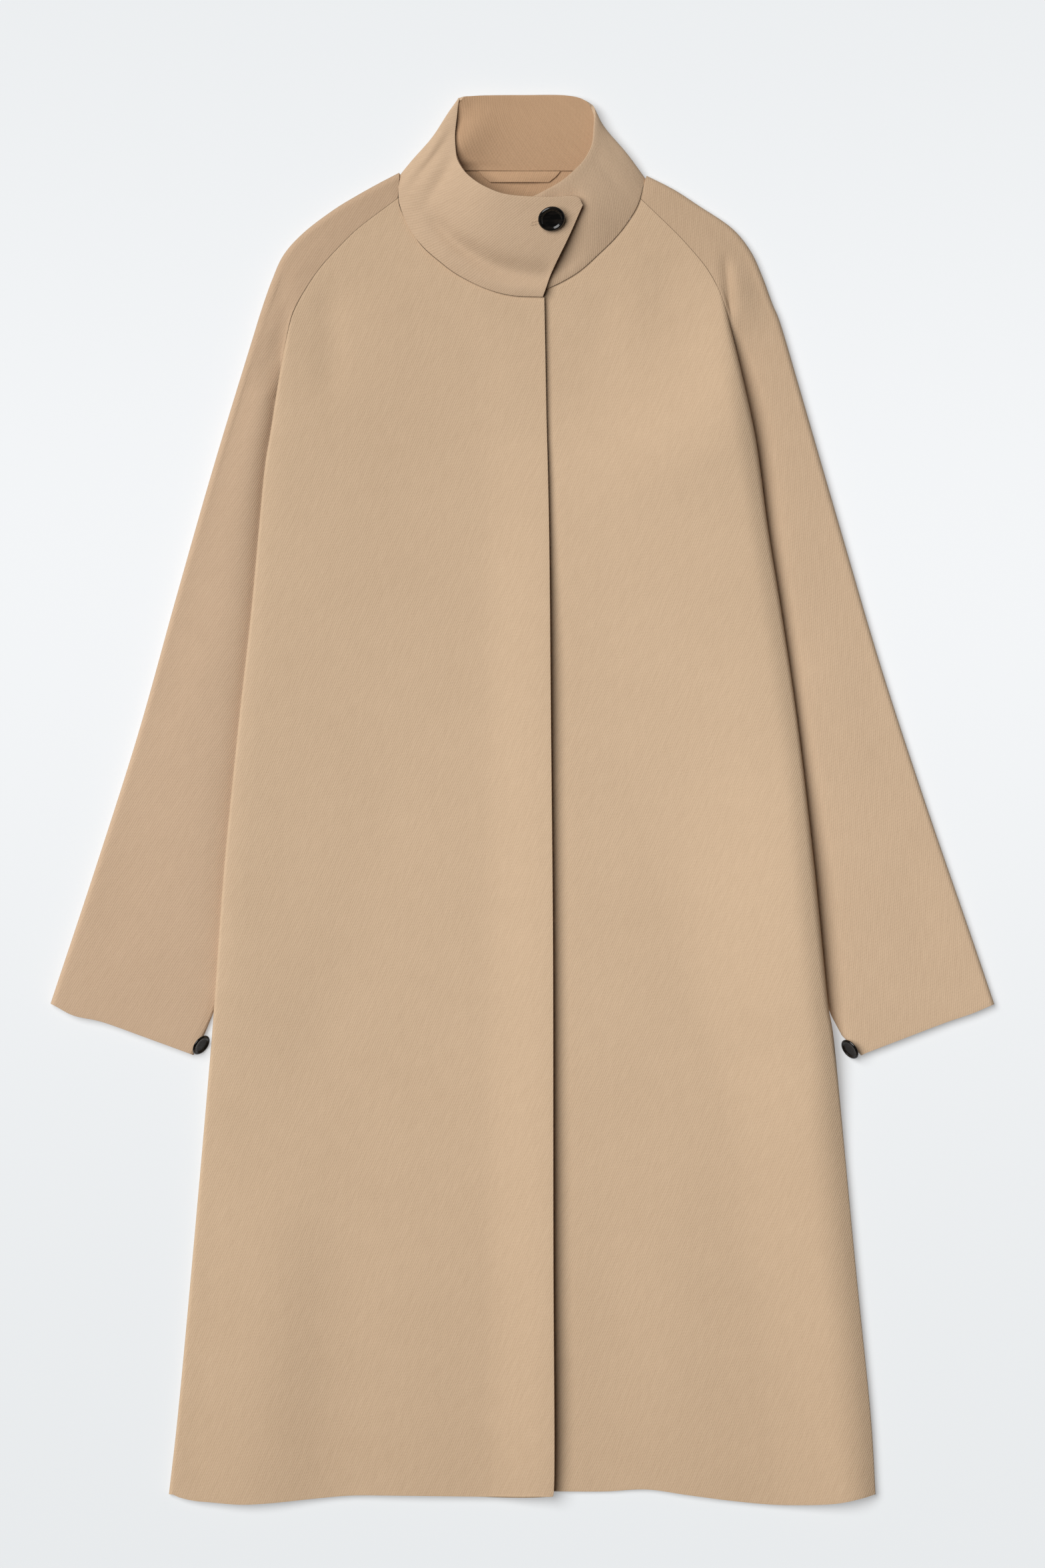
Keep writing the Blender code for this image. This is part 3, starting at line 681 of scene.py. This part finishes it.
def sleeve_section(
        side, near_top, near_bottom, far, inner_high, outer_radius, crown, roll, top_arc, bottom_arc, bow):
    """One cross line of the sleeve: its upper layer, the turn at its outer edge, its under layer."""
    low = SLEEVE_WALL / 2
    heading = (far - near_top) / np.linalg.norm(far - near_top)
    turn_centre = far - heading * (outer_radius + low)
    outer_high = low + 2 * outer_radius
    section = list(top_arc)
    for s in np.linspace(0, 1, TOP_STEPS + 1)[1:]:
        place = near_top + (turn_centre - near_top) * s
        bared = max(0.0, clear_of_front(side, place))
        bared_width = max(LEAST_BARED, clear_of_front(side, turn_centre))
        shown = s + (min(1.0, bared / bared_width) - s) * roll
        fall = ease((s - SHOULDER_LEVEL_SHARE) / (1 - SHOULDER_LEVEL_SHARE))
        climb = fall + (1 - math.exp(-bared / CREASE_WIDTH[side]) - fall) * roll
        z = inner_high + (outer_high - inner_high) * climb + crown * climb * (1 - ease(shown)) * roll
        lie = crease_rise(SLEEVE_CREASES[side], *place) + cloth_lie(*place, 3 * SIGN[side])
        section.append((place, z + lie * ease((1 - s) / CREASE_MARGIN) * ease(s / CREASE_MARGIN)))
    for angle in np.linspace(0, math.pi, OUTER_STEPS + 1)[1:]:
        place = turn_centre + heading * outer_radius * math.sin(angle)
        section.append((place, low + outer_radius * (1 + math.cos(angle))))
    for s in np.linspace(0, 1, BOTTOM_STEPS + 1)[1:]:
        section.append((turn_centre + (near_bottom - turn_centre) * s, low))
    section += bottom_arc[1:]
    downward = np.array((heading[1], -heading[0]))
    width = np.linalg.norm(turn_centre - near_top)
    for index, (place, z) in enumerate(section):
        share = np.dot(place - near_top, heading) / width
        bowed = place + downward * bow * math.exp(-((share - CUFF_BOW_PLACE) / CUFF_BOW_WIDTH) ** 2)
        section[index] = (bowed, z)
    row = np.array([(SIGN[side] * place[0], place[1], z) for place, z in section])
    run = run_of(row) - run_of(row)[ARC_STEPS]
    cut = (near_top + run[:, None] * heading) * (SIGN[side], 1)
    return row, cut


def sleeve_points(side):
    raglan_share = np.linspace(0, 1, RAGLAN_ROWS, endpoint=False)
    tube_share = np.linspace(0, 1, TUBE_ROWS + 1)
    outer_shares = np.concatenate([
        SHOULDER_SHARE * raglan_share ** SHOULDER_BUNCHING,
        SHOULDER_SHARE + (1 - SHOULDER_SHARE) * tube_share,
    ])
    outer = curve_through(SLEEVE_OUTER[side], outer_shares)
    raglan = curve_through(SLEEVE_RAGLAN[side], raglan_share)
    seam_y = np.interp(raglan_share, np.linspace(0, 1, len(SEAM_ROWS)), SEAM_ROWS)
    low = SLEEVE_WALL / 2
    lines = []
    for y, near_bottom, far in zip(seam_y, raglan, outer):
        seam_x, seam_z = sleeve_seam(side, y)
        near_top = np.array([seam_x, y])
        crown = table_value(SLEEVE_CROWN, side, y)
        top_arc = [(near_top, seam_z)] * (ARC_STEPS + 1)
        bottom_arc = [(near_bottom, low)] * (ARC_STEPS + 1)
        lines.append(sleeve_section(
            side, near_top, near_bottom, far, seam_z, SHOULDER_RADIUS[side], crown, roll_at(side, y),
            top_arc, bottom_arc, 0.0))
    inner_line = np.column_stack([SLEEVE_INNER[side], SLEEVE_INNER["y"]])
    inner_run = run_of(inner_line)
    for share, far in zip(tube_share, outer[RAGLAN_ROWS:]):
        inner = np.array([np.interp(share * inner_run[-1], inner_run, column) for column in inner_line.T])
        cuff_spread = ease((share - CUFF_SPREAD_START) / (1 - CUFF_SPREAD_START))
        radius = SLEEVE_RADIUS + (CUFF_RADIUS[side] - SLEEVE_RADIUS) * cuff_spread
        spread = ease(share / SHOULDER_SPREAD_SHARE)
        outer_radius = SHOULDER_RADIUS[side] + (CUFF_RADIUS[side] - SHOULDER_RADIUS[side]) * spread
        heading = (far - inner) / np.linalg.norm(far - inner)
        centre = inner + heading * (radius + low)
        crown = table_value(SLEEVE_CROWN, side, inner[1])
        bow = CUFF_BOW[side] * ease((share - CUFF_BOW_START) / (1 - CUFF_BOW_START))
        top_arc = quarter_turn(centre, heading, radius, 1)
        bottom_arc = quarter_turn(centre, heading, radius, -1)[::-1]
        lines.append(sleeve_section(
            side, centre, centre, far, low + 2 * radius, outer_radius, crown, 1.0,
            top_arc, bottom_arc, bow))
    return np.array([row for row, cut in lines]), np.array([cut for row, cut in lines])


SLEEVE_CUT = {"right": ((0.424, 0.785), 0.172), "left": ((0.417, 0.780), 0.179)}
for side in SIGN:
    points, cut = sleeve_points(side)
    cloth_piece(
        "coat_sleeve_" + side, points, cut, SLEEVE_WALL, SLEEVE_SLANT[side], free_rows=[len(points) - 1],
        painted_shades=(SLEEVE_PAINTED_SHADE[side], SLEEVE_PAINTED_SHADE[side]), painted_falloff=SLEEVE_PAINTED_FALLOFF)
    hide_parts("sleeve_" + side)
    size, area = SLEEVE_CUT[side]
    size, area = FRONT_CUT[side]

# Collar: a tall stand collar of doubled wool, sewn round the neck and lapped right over left. It
# stands up off the chest with a soft break above its seam, and its edge is turned and pressed.
COLLAR_WALL = 3.0
COLLAR_SWELL = 3.0
COLLAR_ROWS = 44
COLLAR_PER_STATION = 12
COLLAR_SLANT = 122
COLLAR_EDGE_SOFTNESS = 1.3
# Painted shade: the collar's outer face is darkened a little, standing in for its slopes turned away from
# the light
COLLAR_PAINTED_SHADE = (0.92, 0.907, 0.912)
# Stations round the neck: x, y, z of the seam, then x, y, z of the top edge
COLLAR = np.array((
    (18.0, 429.5, 15.5, 51.0, 505.5, 29.5),
    (12.0, 429.8, 15.5, 44.7, 512.7, 31.5),
    (-10.8, 431.2, 15.5, 20.0, 512.0, 33.6),
    (-33.0, 437.6, 15.5, -12.0, 514.0, 34.5),
    (-55.0, 448.7, 15.5, -31.0, 520.5, 33.0),
    (-70.0, 459.8, 15.5, -44.5, 529.5, 28.5),
    (-84.5, 472.8, 14.0, -52.0, 538.5, 24.0),
    (-96.0, 488.8, 12.4, -56.0, 548.5, 18.5),
    (-103.4, 507.8, 11.3, -57.3, 564.0, 15.2),
    (-104.0, 522.0, 10.2, -56.0, 580.0, 13.2),
    (-102.4, 531.8, 6.0, -53.0, 596.0, 11.8),
    (-92.0, 533.4, 2.7, -42.0, 598.9, 9.5),
    (-60.0, 537.1, 2.6, -22.0, 599.5, 7.0),
    (0.0, 536.9, 2.6, 0.0, 599.6, 6.0),
    (60.0, 536.6, 2.6, 36.0, 599.4, 6.5),
    (92.0, 532.0, 2.7, 54.0, 595.0, 7.5),
    (102.4, 529.2, 5.8, 61.8, 585.5, 10.5),
    (100.6, 520.5, 10.2, 61.0, 571.0, 16.0),
    (98.2, 511.0, 10.8, 59.0, 557.0, 21.5),
    (93.0, 500.0, 11.0, 53.0, 545.0, 26.0),
    (80.2, 482.2, 10.6, 44.0, 535.0, 28.5),
    (63.4, 465.4, 10.2, 32.0, 525.0, 28.5),
    (45.0, 449.6, 10.0, 15.0, 515.5, 27.5),
    (21.0, 436.8, 9.8, -6.0, 507.0, 26.0),
    (0.0, 430.2, 9.8, -25.0, 501.0, 25.0),
))
# Dents and swells of the collar: station, rise, half_width in stations, half_height in rise, depth
COLLAR_DENTS = (
    (-0.6, 0.18, 1.0, 0.20, -2.6),
    (0.8, 0.18, 1.0, 0.11, -3.0),
    (2.3, 0.22, 1.2, 0.12, -5.6),
    (3.9, 0.28, 1.2, 0.12, -6.2),
    (5.5, 0.30, 1.0, 0.12, -4.2),
    (11.9, 0.35, 0.55, 0.35, 6.4),
    (6.9, 0.60, 0.35, 0.30, -1.0),
    (7.6, 0.55, 0.35, 0.30, 1.0),
    (8.3, 0.55, 0.35, 0.30, -1.2),
    (9.1, 0.60, 0.40, 0.30, 0.8),
    (18.6, 0.50, 0.50, 0.35, -1.0),
    (20.4, 0.42, 0.60, 0.30, 0.9),
    (20.9, 0.70, 0.45, 0.14, -2.5),
    (21.6, 0.84, 0.50, 0.14, -3.0),
    (22.6, 0.27, 1.20, 0.20, -3.0),
)
COLLAR_STATIONS = np.vstack([2 * COLLAR[0] - COLLAR[1], COLLAR, 2 * COLLAR[-1] - COLLAR[-2]])
DENT_START_RISE = 0.12
EDGE_FLARE = 1.0
EDGE_FLARE_SHARE = 0.12
SEAM_REACH = 0.016
LAP_BOW = 1.6
LAP_BOW_RISE = 0.30
LAP_BOW_SHARE = 0.24
# Hollows of the collar's outline where it folds back at each side: station, rise, depth to the neck
COLLAR_HOLLOWS = ((9.8, 0.48, -3.0), (16.0, 0.70, 4.4))
HOLLOW_SHARE = 0.25


def collar_station(place):
    index = min(int(place), len(COLLAR) - 2)
    return smooth_step(COLLAR_STATIONS, index, place - index)


def collar_point(place, rise):
    station = collar_station(place)
    upward = station[3:] - station[:3]
    swell = COLLAR_SWELL * 4 * rise * (1 - rise)
    swell += EDGE_FLARE * math.exp(-((1 - rise) / EDGE_FLARE_SHARE) ** 2)
    for centre, height, half_width, half_height, depth in COLLAR_DENTS:
        aside = ((place - centre) / half_width) ** 2 + ((rise - height) / half_height) ** 2
        swell += depth * math.exp(-aside) * ease(rise / DENT_START_RISE)
    bow = LAP_BOW * math.exp(-((rise - LAP_BOW_RISE) / LAP_BOW_SHARE) ** 2) * ease(1 - place / 2)
    for corner, height, inward in COLLAR_HOLLOWS:
        bow += inward * math.exp(-(place - corner) ** 2 - ((rise - height) / HOLLOW_SHARE) ** 2)
    return station[:3] + upward * rise + np.array((-bow, 0.0, swell))


collar_places = np.linspace(0, len(COLLAR) - 1, (len(COLLAR) - 1) * COLLAR_PER_STATION + 1)
collar_rises = np.linspace(-SEAM_REACH, 1, COLLAR_ROWS + 1)
collar_points = np.array([[collar_point(place, rise) for rise in collar_rises] for place in collar_places])
collar_round = run_of(np.array([collar_point(place, 0.5) for place in collar_places]))
collar_up = np.array([run_of(line) for line in collar_points])
collar_cut = np.dstack([np.broadcast_to(collar_round[:, None], collar_up.shape), collar_up])
# One face of the collar carries the painted shade of the inside of the neck, the other the collar's own
# painted shade.
collar = cloth_piece(
    "coat_collar", collar_points, collar_cut, COLLAR_WALL, COLLAR_SLANT,
    free_rows=[0, len(collar_places) - 1], free_columns=[COLLAR_ROWS], edge_softness=COLLAR_EDGE_SOFTNESS,
    painted_shades=(INSIDE_PAINTED_SHADE, COLLAR_PAINTED_SHADE))
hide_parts("collar")

# Hanger loop: a narrow strip of the same wool, folded to a band, its two ends caught in the back
# neck seam. It bows a little off the back between them.
LOOP_WALL = 1.2
LOOP_STEPS = 40
LOOP_MIDDLE_X = -2.5
LOOP_BOW = 2.2
LOOP_BOW_SHARE = 0.6
LOOP_GAP = 0.4
LOOP_ROWS = 9
LOOP_EDGE_SOFTNESS = 0.45
LOOP_LINES = {"share": (0.0, 0.5, 1.0), "y": (535.2, 530.5, 525.8), "half_length": (35.0, 31.0, 25.0)}
loop_points = []
loop_cut = []
for share in np.linspace(0, 1, LOOP_ROWS):
    y = np.interp(share, LOOP_LINES["share"], LOOP_LINES["y"])
    half_length = np.interp(share, LOOP_LINES["share"], LOOP_LINES["half_length"])
    along = np.linspace(-1, 1, LOOP_STEPS + 1)
    x = LOOP_MIDDLE_X + half_length * along
    bow = LOOP_BOW * np.cos(math.pi / 2 * along) * ease(share / LOOP_BOW_SHARE)
    z = BODY_WALL + LOOP_GAP + LOOP_WALL / 2 + bow
    loop_points.append(np.column_stack([x, np.full_like(x, y), z]))
    loop_cut.append(np.column_stack([x, np.full_like(x, y - LOOP_LINES["y"][0])]))
# Both faces of the loop carry the painted shade of the inside of the neck.
loop = cloth_piece(
    "hanger_strip", np.array(loop_points), np.array(loop_cut), LOOP_WALL, BODY_SLANT,
    free_rows=[0, LOOP_ROWS - 1], edge_softness=LOOP_EDGE_SOFTNESS, painted_shades=(INSIDE_PAINTED_SHADE, INSIDE_PAINTED_SHADE))
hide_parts("hanger_loop")

# Buttons: turned and polished black buttons with a raised rim round a shallow dish, sewn on from
# behind. One closes the collar, and one stands on the inner edge of each cuff.
BUTTON_STEPS = 72
BUTTON_PROFILE_STEPS = 60
# From the middle of the back round the rim to the middle of the dish: share of radius, share of height
BUTTON_PROFILE = (
    (0.0, 0.0), (0.72, 0.0), (0.93, 0.22), (1.0, 0.52), (0.975, 0.78), (0.91, 0.95), (0.84, 1.0),
    (0.78, 0.93), (0.71, 0.72), (0.63, 0.58), (0.4, 0.50), (0.0, 0.48),
)
BUTTON_BLACK = (0.0045, 0.0042, 0.0040, 1.0)
BUTTON_BROWN = (0.020, 0.016, 0.013, 1.0)
BUTTON_ROUGHNESS = 0.09
GRAIN_ROUGHNESS = 0.12
GRAIN_STRETCH = (60.0, 420.0, 200.0)
GRAIN_START = 0.48
GRAIN_CONTRAST = 3.0


def polished_black(name):
    """Black button finish with the faint brownish streaks of pressed horn."""
    made, start, shader = new_finish(name)
    place = start.node("ShaderNodeTexCoord", {}, {}, 3)
    stretched = start.node("ShaderNodeMapping", {}, {"Vector": place, "Scale": GRAIN_STRETCH})
    grain = start.node("ShaderNodeTexNoise", {}, {"Vector": stretched, "Scale": 1.0, "Detail": 3.0})
    brownness = (grain - GRAIN_START) * GRAIN_CONTRAST
    tones = {MIX_FACTOR: brownness, MIX_FIRST: BUTTON_BLACK, MIX_SECOND: BUTTON_BROWN}
    colour = start.node("ShaderNodeMix", COLOUR_MIX, tones, MIX_RESULT)
    roughness = BUTTON_ROUGHNESS + grain * GRAIN_ROUGHNESS
    start.tree.links.new(colour.socket, shader["Base Color"])
    start.tree.links.new(roughness.socket, shader["Roughness"])
    shader["Specular IOR Level"].default_value = 0.38
    return made


def button_piece(name, diameter, thickness, seat, facing, hang):
    outward = Vector(facing).normalized()
    across = outward.cross(Vector(hang)).normalized()
    down = outward.cross(across)
    turn = Matrix((across, down, outward)).transposed().to_4x4()
    place = Matrix.Translation(Vector(seat) * MM) @ turn
    half = diameter / 2
    shape = bmesh.new()
    outline = curve_through(BUTTON_PROFILE, np.linspace(0, 1, BUTTON_PROFILE_STEPS))
    outline = outline * (half * MM, thickness * MM)
    verts = [shape.verts.new((max(0.0, radius), 0.0, rise)) for radius, rise in outline]
    edges = [shape.edges.new(pair) for pair in zip(verts, verts[1:])]
    bmesh.ops.spin(
        shape, geom=verts + edges, cent=(0, 0, 0), axis=(0, 0, 1), angle=2 * math.pi, steps=BUTTON_STEPS,
        use_merge=True)
    bmesh.ops.remove_doubles(shape, verts=shape.verts, dist=MERGE_DISTANCE)
    bmesh.ops.recalc_face_normals(shape, faces=shape.faces)
    bmesh.ops.transform(shape, matrix=place, verts=shape.verts)
    for face in shape.faces:
        face.smooth = True
    mesh = bpy.data.meshes.new(name)
    shape.to_mesh(mesh)
    shape.free()
    mesh.materials.append(polished_black(name + "_black"))
    piece = bpy.data.objects.new(name, mesh)
    bpy.context.scene.collection.objects.link(piece)
    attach(piece, "root")
    return piece


STATION_STEP = 0.05
RISE_STEP = 0.02


def collar_facing(place, rise):
    """The way the collar's outer face looks at a place on it."""
    along = collar_point(place + STATION_STEP, rise) - collar_point(place - STATION_STEP, rise)
    upward = collar_point(place, rise + RISE_STEP) - collar_point(place, rise - RISE_STEP)
    facing = np.cross(upward, along)
    facing /= np.linalg.norm(facing)
    return facing if facing[2] > 0 else -facing


COLLAR_BUTTON = 23.0
COLLAR_BUTTON_THICKNESS = 3.6
BUTTON_CLEARANCE = 4.6
BUTTON_LEAN = np.array((0.07, -0.36, 0.0))
COLLAR_BUTTON_STATION = 1.62
COLLAR_BUTTON_RISE = 0.79
under_button = collar_facing(COLLAR_BUTTON_STATION, COLLAR_BUTTON_RISE)
button_seat = collar_point(COLLAR_BUTTON_STATION, COLLAR_BUTTON_RISE)
button_seat = button_seat + under_button * (COLLAR_WALL / 2 + BUTTON_CLEARANCE)
button_facing = under_button + BUTTON_LEAN
collar_button = button_piece(
    "collar_button", COLLAR_BUTTON, COLLAR_BUTTON_THICKNESS, button_seat, button_facing, (1, 0, 0))
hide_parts("button_collar")

CUFF_BUTTON = 18.8
CUFF_BUTTON_THICKNESS = 2.6
CUFF_TILT = math.radians(58)
CUFF_BUTTON_HEIGHT = 9.3
CUFF_BUTTONS = {"right": ((-273.4, -208.4), (0.79, -0.61)), "left": ((278.6, -212.0), (-0.79, -0.61))}
for side, (middle, lean) in CUFF_BUTTONS.items():
    aside = math.sin(CUFF_TILT)
    facing = np.array((lean[0] * aside, lean[1] * aside, math.cos(CUFF_TILT)))
    seat = np.array((*middle, CUFF_BUTTON_HEIGHT)) - facing * CUFF_BUTTON_THICKNESS / 2
    cuff_button = button_piece(
        "cuff_button_" + side, CUFF_BUTTON, CUFF_BUTTON_THICKNESS, seat, facing, (0, 0, 1))
    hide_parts("button_cuff_" + side)

# Buttonhole: a slit in the collar's lapped end, worked round with close thread stitches in the
# colour of the wool. Only its rounded end shows beside the button.
HOLE_START = (1.75, 0.765)
HOLE_END = (2.12, 0.722)
STITCH_LENGTH = 2.3
STITCH_THICKNESS = 0.55
STITCH_GAP = 0.75
STITCH_RAISE = 0.12
END_STITCHES = (-60, -30, 0, 30, 60)
THREAD_FUZZ = 1400.0
THREAD_COLOUR = (0.66, 0.49, 0.335, 1.0)


def thread_finish(name):
    made, start, shader = new_finish(name)
    place = start.node("ShaderNodeTexCoord", {}, {}, 3)
    fuzz = start.node("ShaderNodeTexNoise", {}, {"Vector": place, "Scale": THREAD_FUZZ, "Detail": 2.0})
    tones = {MIX_FACTOR: fuzz, MIX_FIRST: WOOL_DEEP, MIX_SECOND: THREAD_COLOUR}
    colour = start.node("ShaderNodeMix", COLOUR_MIX, tones, MIX_RESULT)
    start.tree.links.new(colour.socket, shader["Base Color"])
    shader["Roughness"].default_value = 0.7
    return made


def on_collar(place, rise, lift):
    return collar_point(place, rise) + collar_facing(place, rise) * (COLLAR_WALL / 2 + lift)


stitches = bmesh.new()
hole_start = on_collar(*HOLE_START, 0.0)
hole_end = on_collar(*HOLE_END, 0.0)
hole_run = hole_end - hole_start
hole_length = np.linalg.norm(hole_run)
hole_heading = Vector(hole_run / hole_length)
hole_up = Vector(collar_facing(*HOLE_END))
hole_side = hole_up.cross(hole_heading)
along_hole = np.arange(0, hole_length, STITCH_GAP)
stitch_places = [(place, 90 * turn) for place in along_hole for turn in (-1, 1)]
stitch_places += [(hole_length, angle) for angle in END_STITCHES]
for place, angle in stitch_places:
    out = hole_heading * math.cos(math.radians(angle)) + hole_side * math.sin(math.radians(angle))
    middle = Vector(hole_start) + hole_heading * place + out * (STITCH_LENGTH / 2)
    middle = middle + hole_up * STITCH_RAISE
    turn = Matrix((out, hole_up.cross(out), hole_up)).transposed().to_4x4()
    size = Matrix.Diagonal((STITCH_LENGTH / 2, STITCH_THICKNESS / 2, STITCH_THICKNESS / 2, 1.0))
    matrix = Matrix.Scale(MM, 4) @ Matrix.Translation(middle) @ turn @ size
    bmesh.ops.create_uvsphere(stitches, u_segments=8, v_segments=6, radius=1.0, matrix=matrix)
for face in stitches.faces:
    face.smooth = True
stitch_mesh = bpy.data.meshes.new("buttonhole_stitches")
stitches.to_mesh(stitch_mesh)
stitches.free()
stitch_mesh.materials.append(thread_finish("buttonhole_thread"))
buttonhole = bpy.data.objects.new("buttonhole_stitches", stitch_mesh)
bpy.context.scene.collection.objects.link(buttonhole)
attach(buttonhole, "root")

# Table, light and camera: a pale matt table under a large soft light from the upper left, seen
# straight down from far above, as the coat was photographed.
# The table's colour darkens away from a line a little above its middle: painted shade standing in for the
# light's falloff
TABLE_PALE = (0.560, 0.570, 0.580, 1.0)
TABLE_SHADED = (0.440, 0.456, 0.464, 1.0)
TABLE_BRIGHT_Y = 0.2
TABLE_SHADE_REACH = 0.5
# A faint glow keeps the shadows on the table pale
TABLE_GLOW = (0.325, 0.331, 0.337, 1.0)
TABLE_HALF = 60.0
table_shape = bmesh.new()
bmesh.ops.create_grid(table_shape, x_segments=1, y_segments=1, size=TABLE_HALF)
table_mesh = bpy.data.meshes.new("table_top")
table_shape.to_mesh(table_mesh)
table_shape.free()
table_finish, table_start, table_shader = new_finish("table_white")
table_place = table_start.node("ShaderNodeTexCoord", {}, {}, 3)
table_y = table_start.node("ShaderNodeSeparateXYZ", {}, {0: table_place}, 1) - TABLE_BRIGHT_Y
table_far = table_y * table_y * (1 / TABLE_SHADE_REACH ** 2)
table_shade = table_far / (table_far + 1.0)
table_tones = {MIX_FACTOR: table_shade, MIX_FIRST: TABLE_PALE, MIX_SECOND: TABLE_SHADED}
table_colour = table_start.node("ShaderNodeMix", COLOUR_MIX, table_tones, MIX_RESULT)
table_start.tree.links.new(table_colour.socket, table_shader["Base Color"])
table_shader["Emission Color"].default_value = TABLE_GLOW
table_shader["Emission Strength"].default_value = 1.0
table_shader["Roughness"].default_value = 0.9
table_shader["Specular IOR Level"].default_value = 0.1
table_mesh.materials.append(table_finish)
table = bpy.data.objects.new("table_top", table_mesh)
bpy.context.scene.collection.objects.link(table)

KEY_DIRECTION = Vector((-0.49, 0.26, 1.0))
KEY_STRENGTH = 3.58
KEY_SPREAD = math.radians(46)
key_data = bpy.data.lights.new("key_light", "SUN")
key_data.energy = KEY_STRENGTH
key_data.angle = KEY_SPREAD
key = bpy.data.objects.new("key_light", key_data)
key.rotation_mode = "QUATERNION"
key.rotation_quaternion = KEY_DIRECTION.to_track_quat("Z", "Y")
bpy.context.scene.collection.objects.link(key)

STUDIO_COLOUR = (0.97, 0.985, 1.0, 1.0)
STUDIO_STRENGTH = 0.03
world = bpy.data.worlds.new("studio")
world.use_nodes = True
world.node_tree.nodes["Background"].inputs["Color"].default_value = STUDIO_COLOUR
world.node_tree.nodes["Background"].inputs["Strength"].default_value = STUDIO_STRENGTH
bpy.context.scene.world = world
bpy.context.scene.view_settings.view_transform = "Standard"

PHOTO_HEIGHT = 2353
MM_PER_PIXEL = 0.5668
LENS = 300.0
SENSOR = 36.0
COAT_MIDDLE_Z = 12.0
PHOTO_CENTRE_Y = 13.6
camera_data = bpy.data.cameras.new("camera")
camera_data.lens = LENS
camera_data.sensor_width = SENSOR
camera_data.clip_end = 200.0
camera = bpy.data.objects.new("camera", camera_data)
distance = PHOTO_HEIGHT * MM_PER_PIXEL * LENS / SENSOR
camera.location = Vector((0.0, PHOTO_CENTRE_Y, COAT_MIDDLE_Z + distance)) * MM
bpy.context.scene.collection.objects.link(camera)
bpy.context.scene.camera = camera
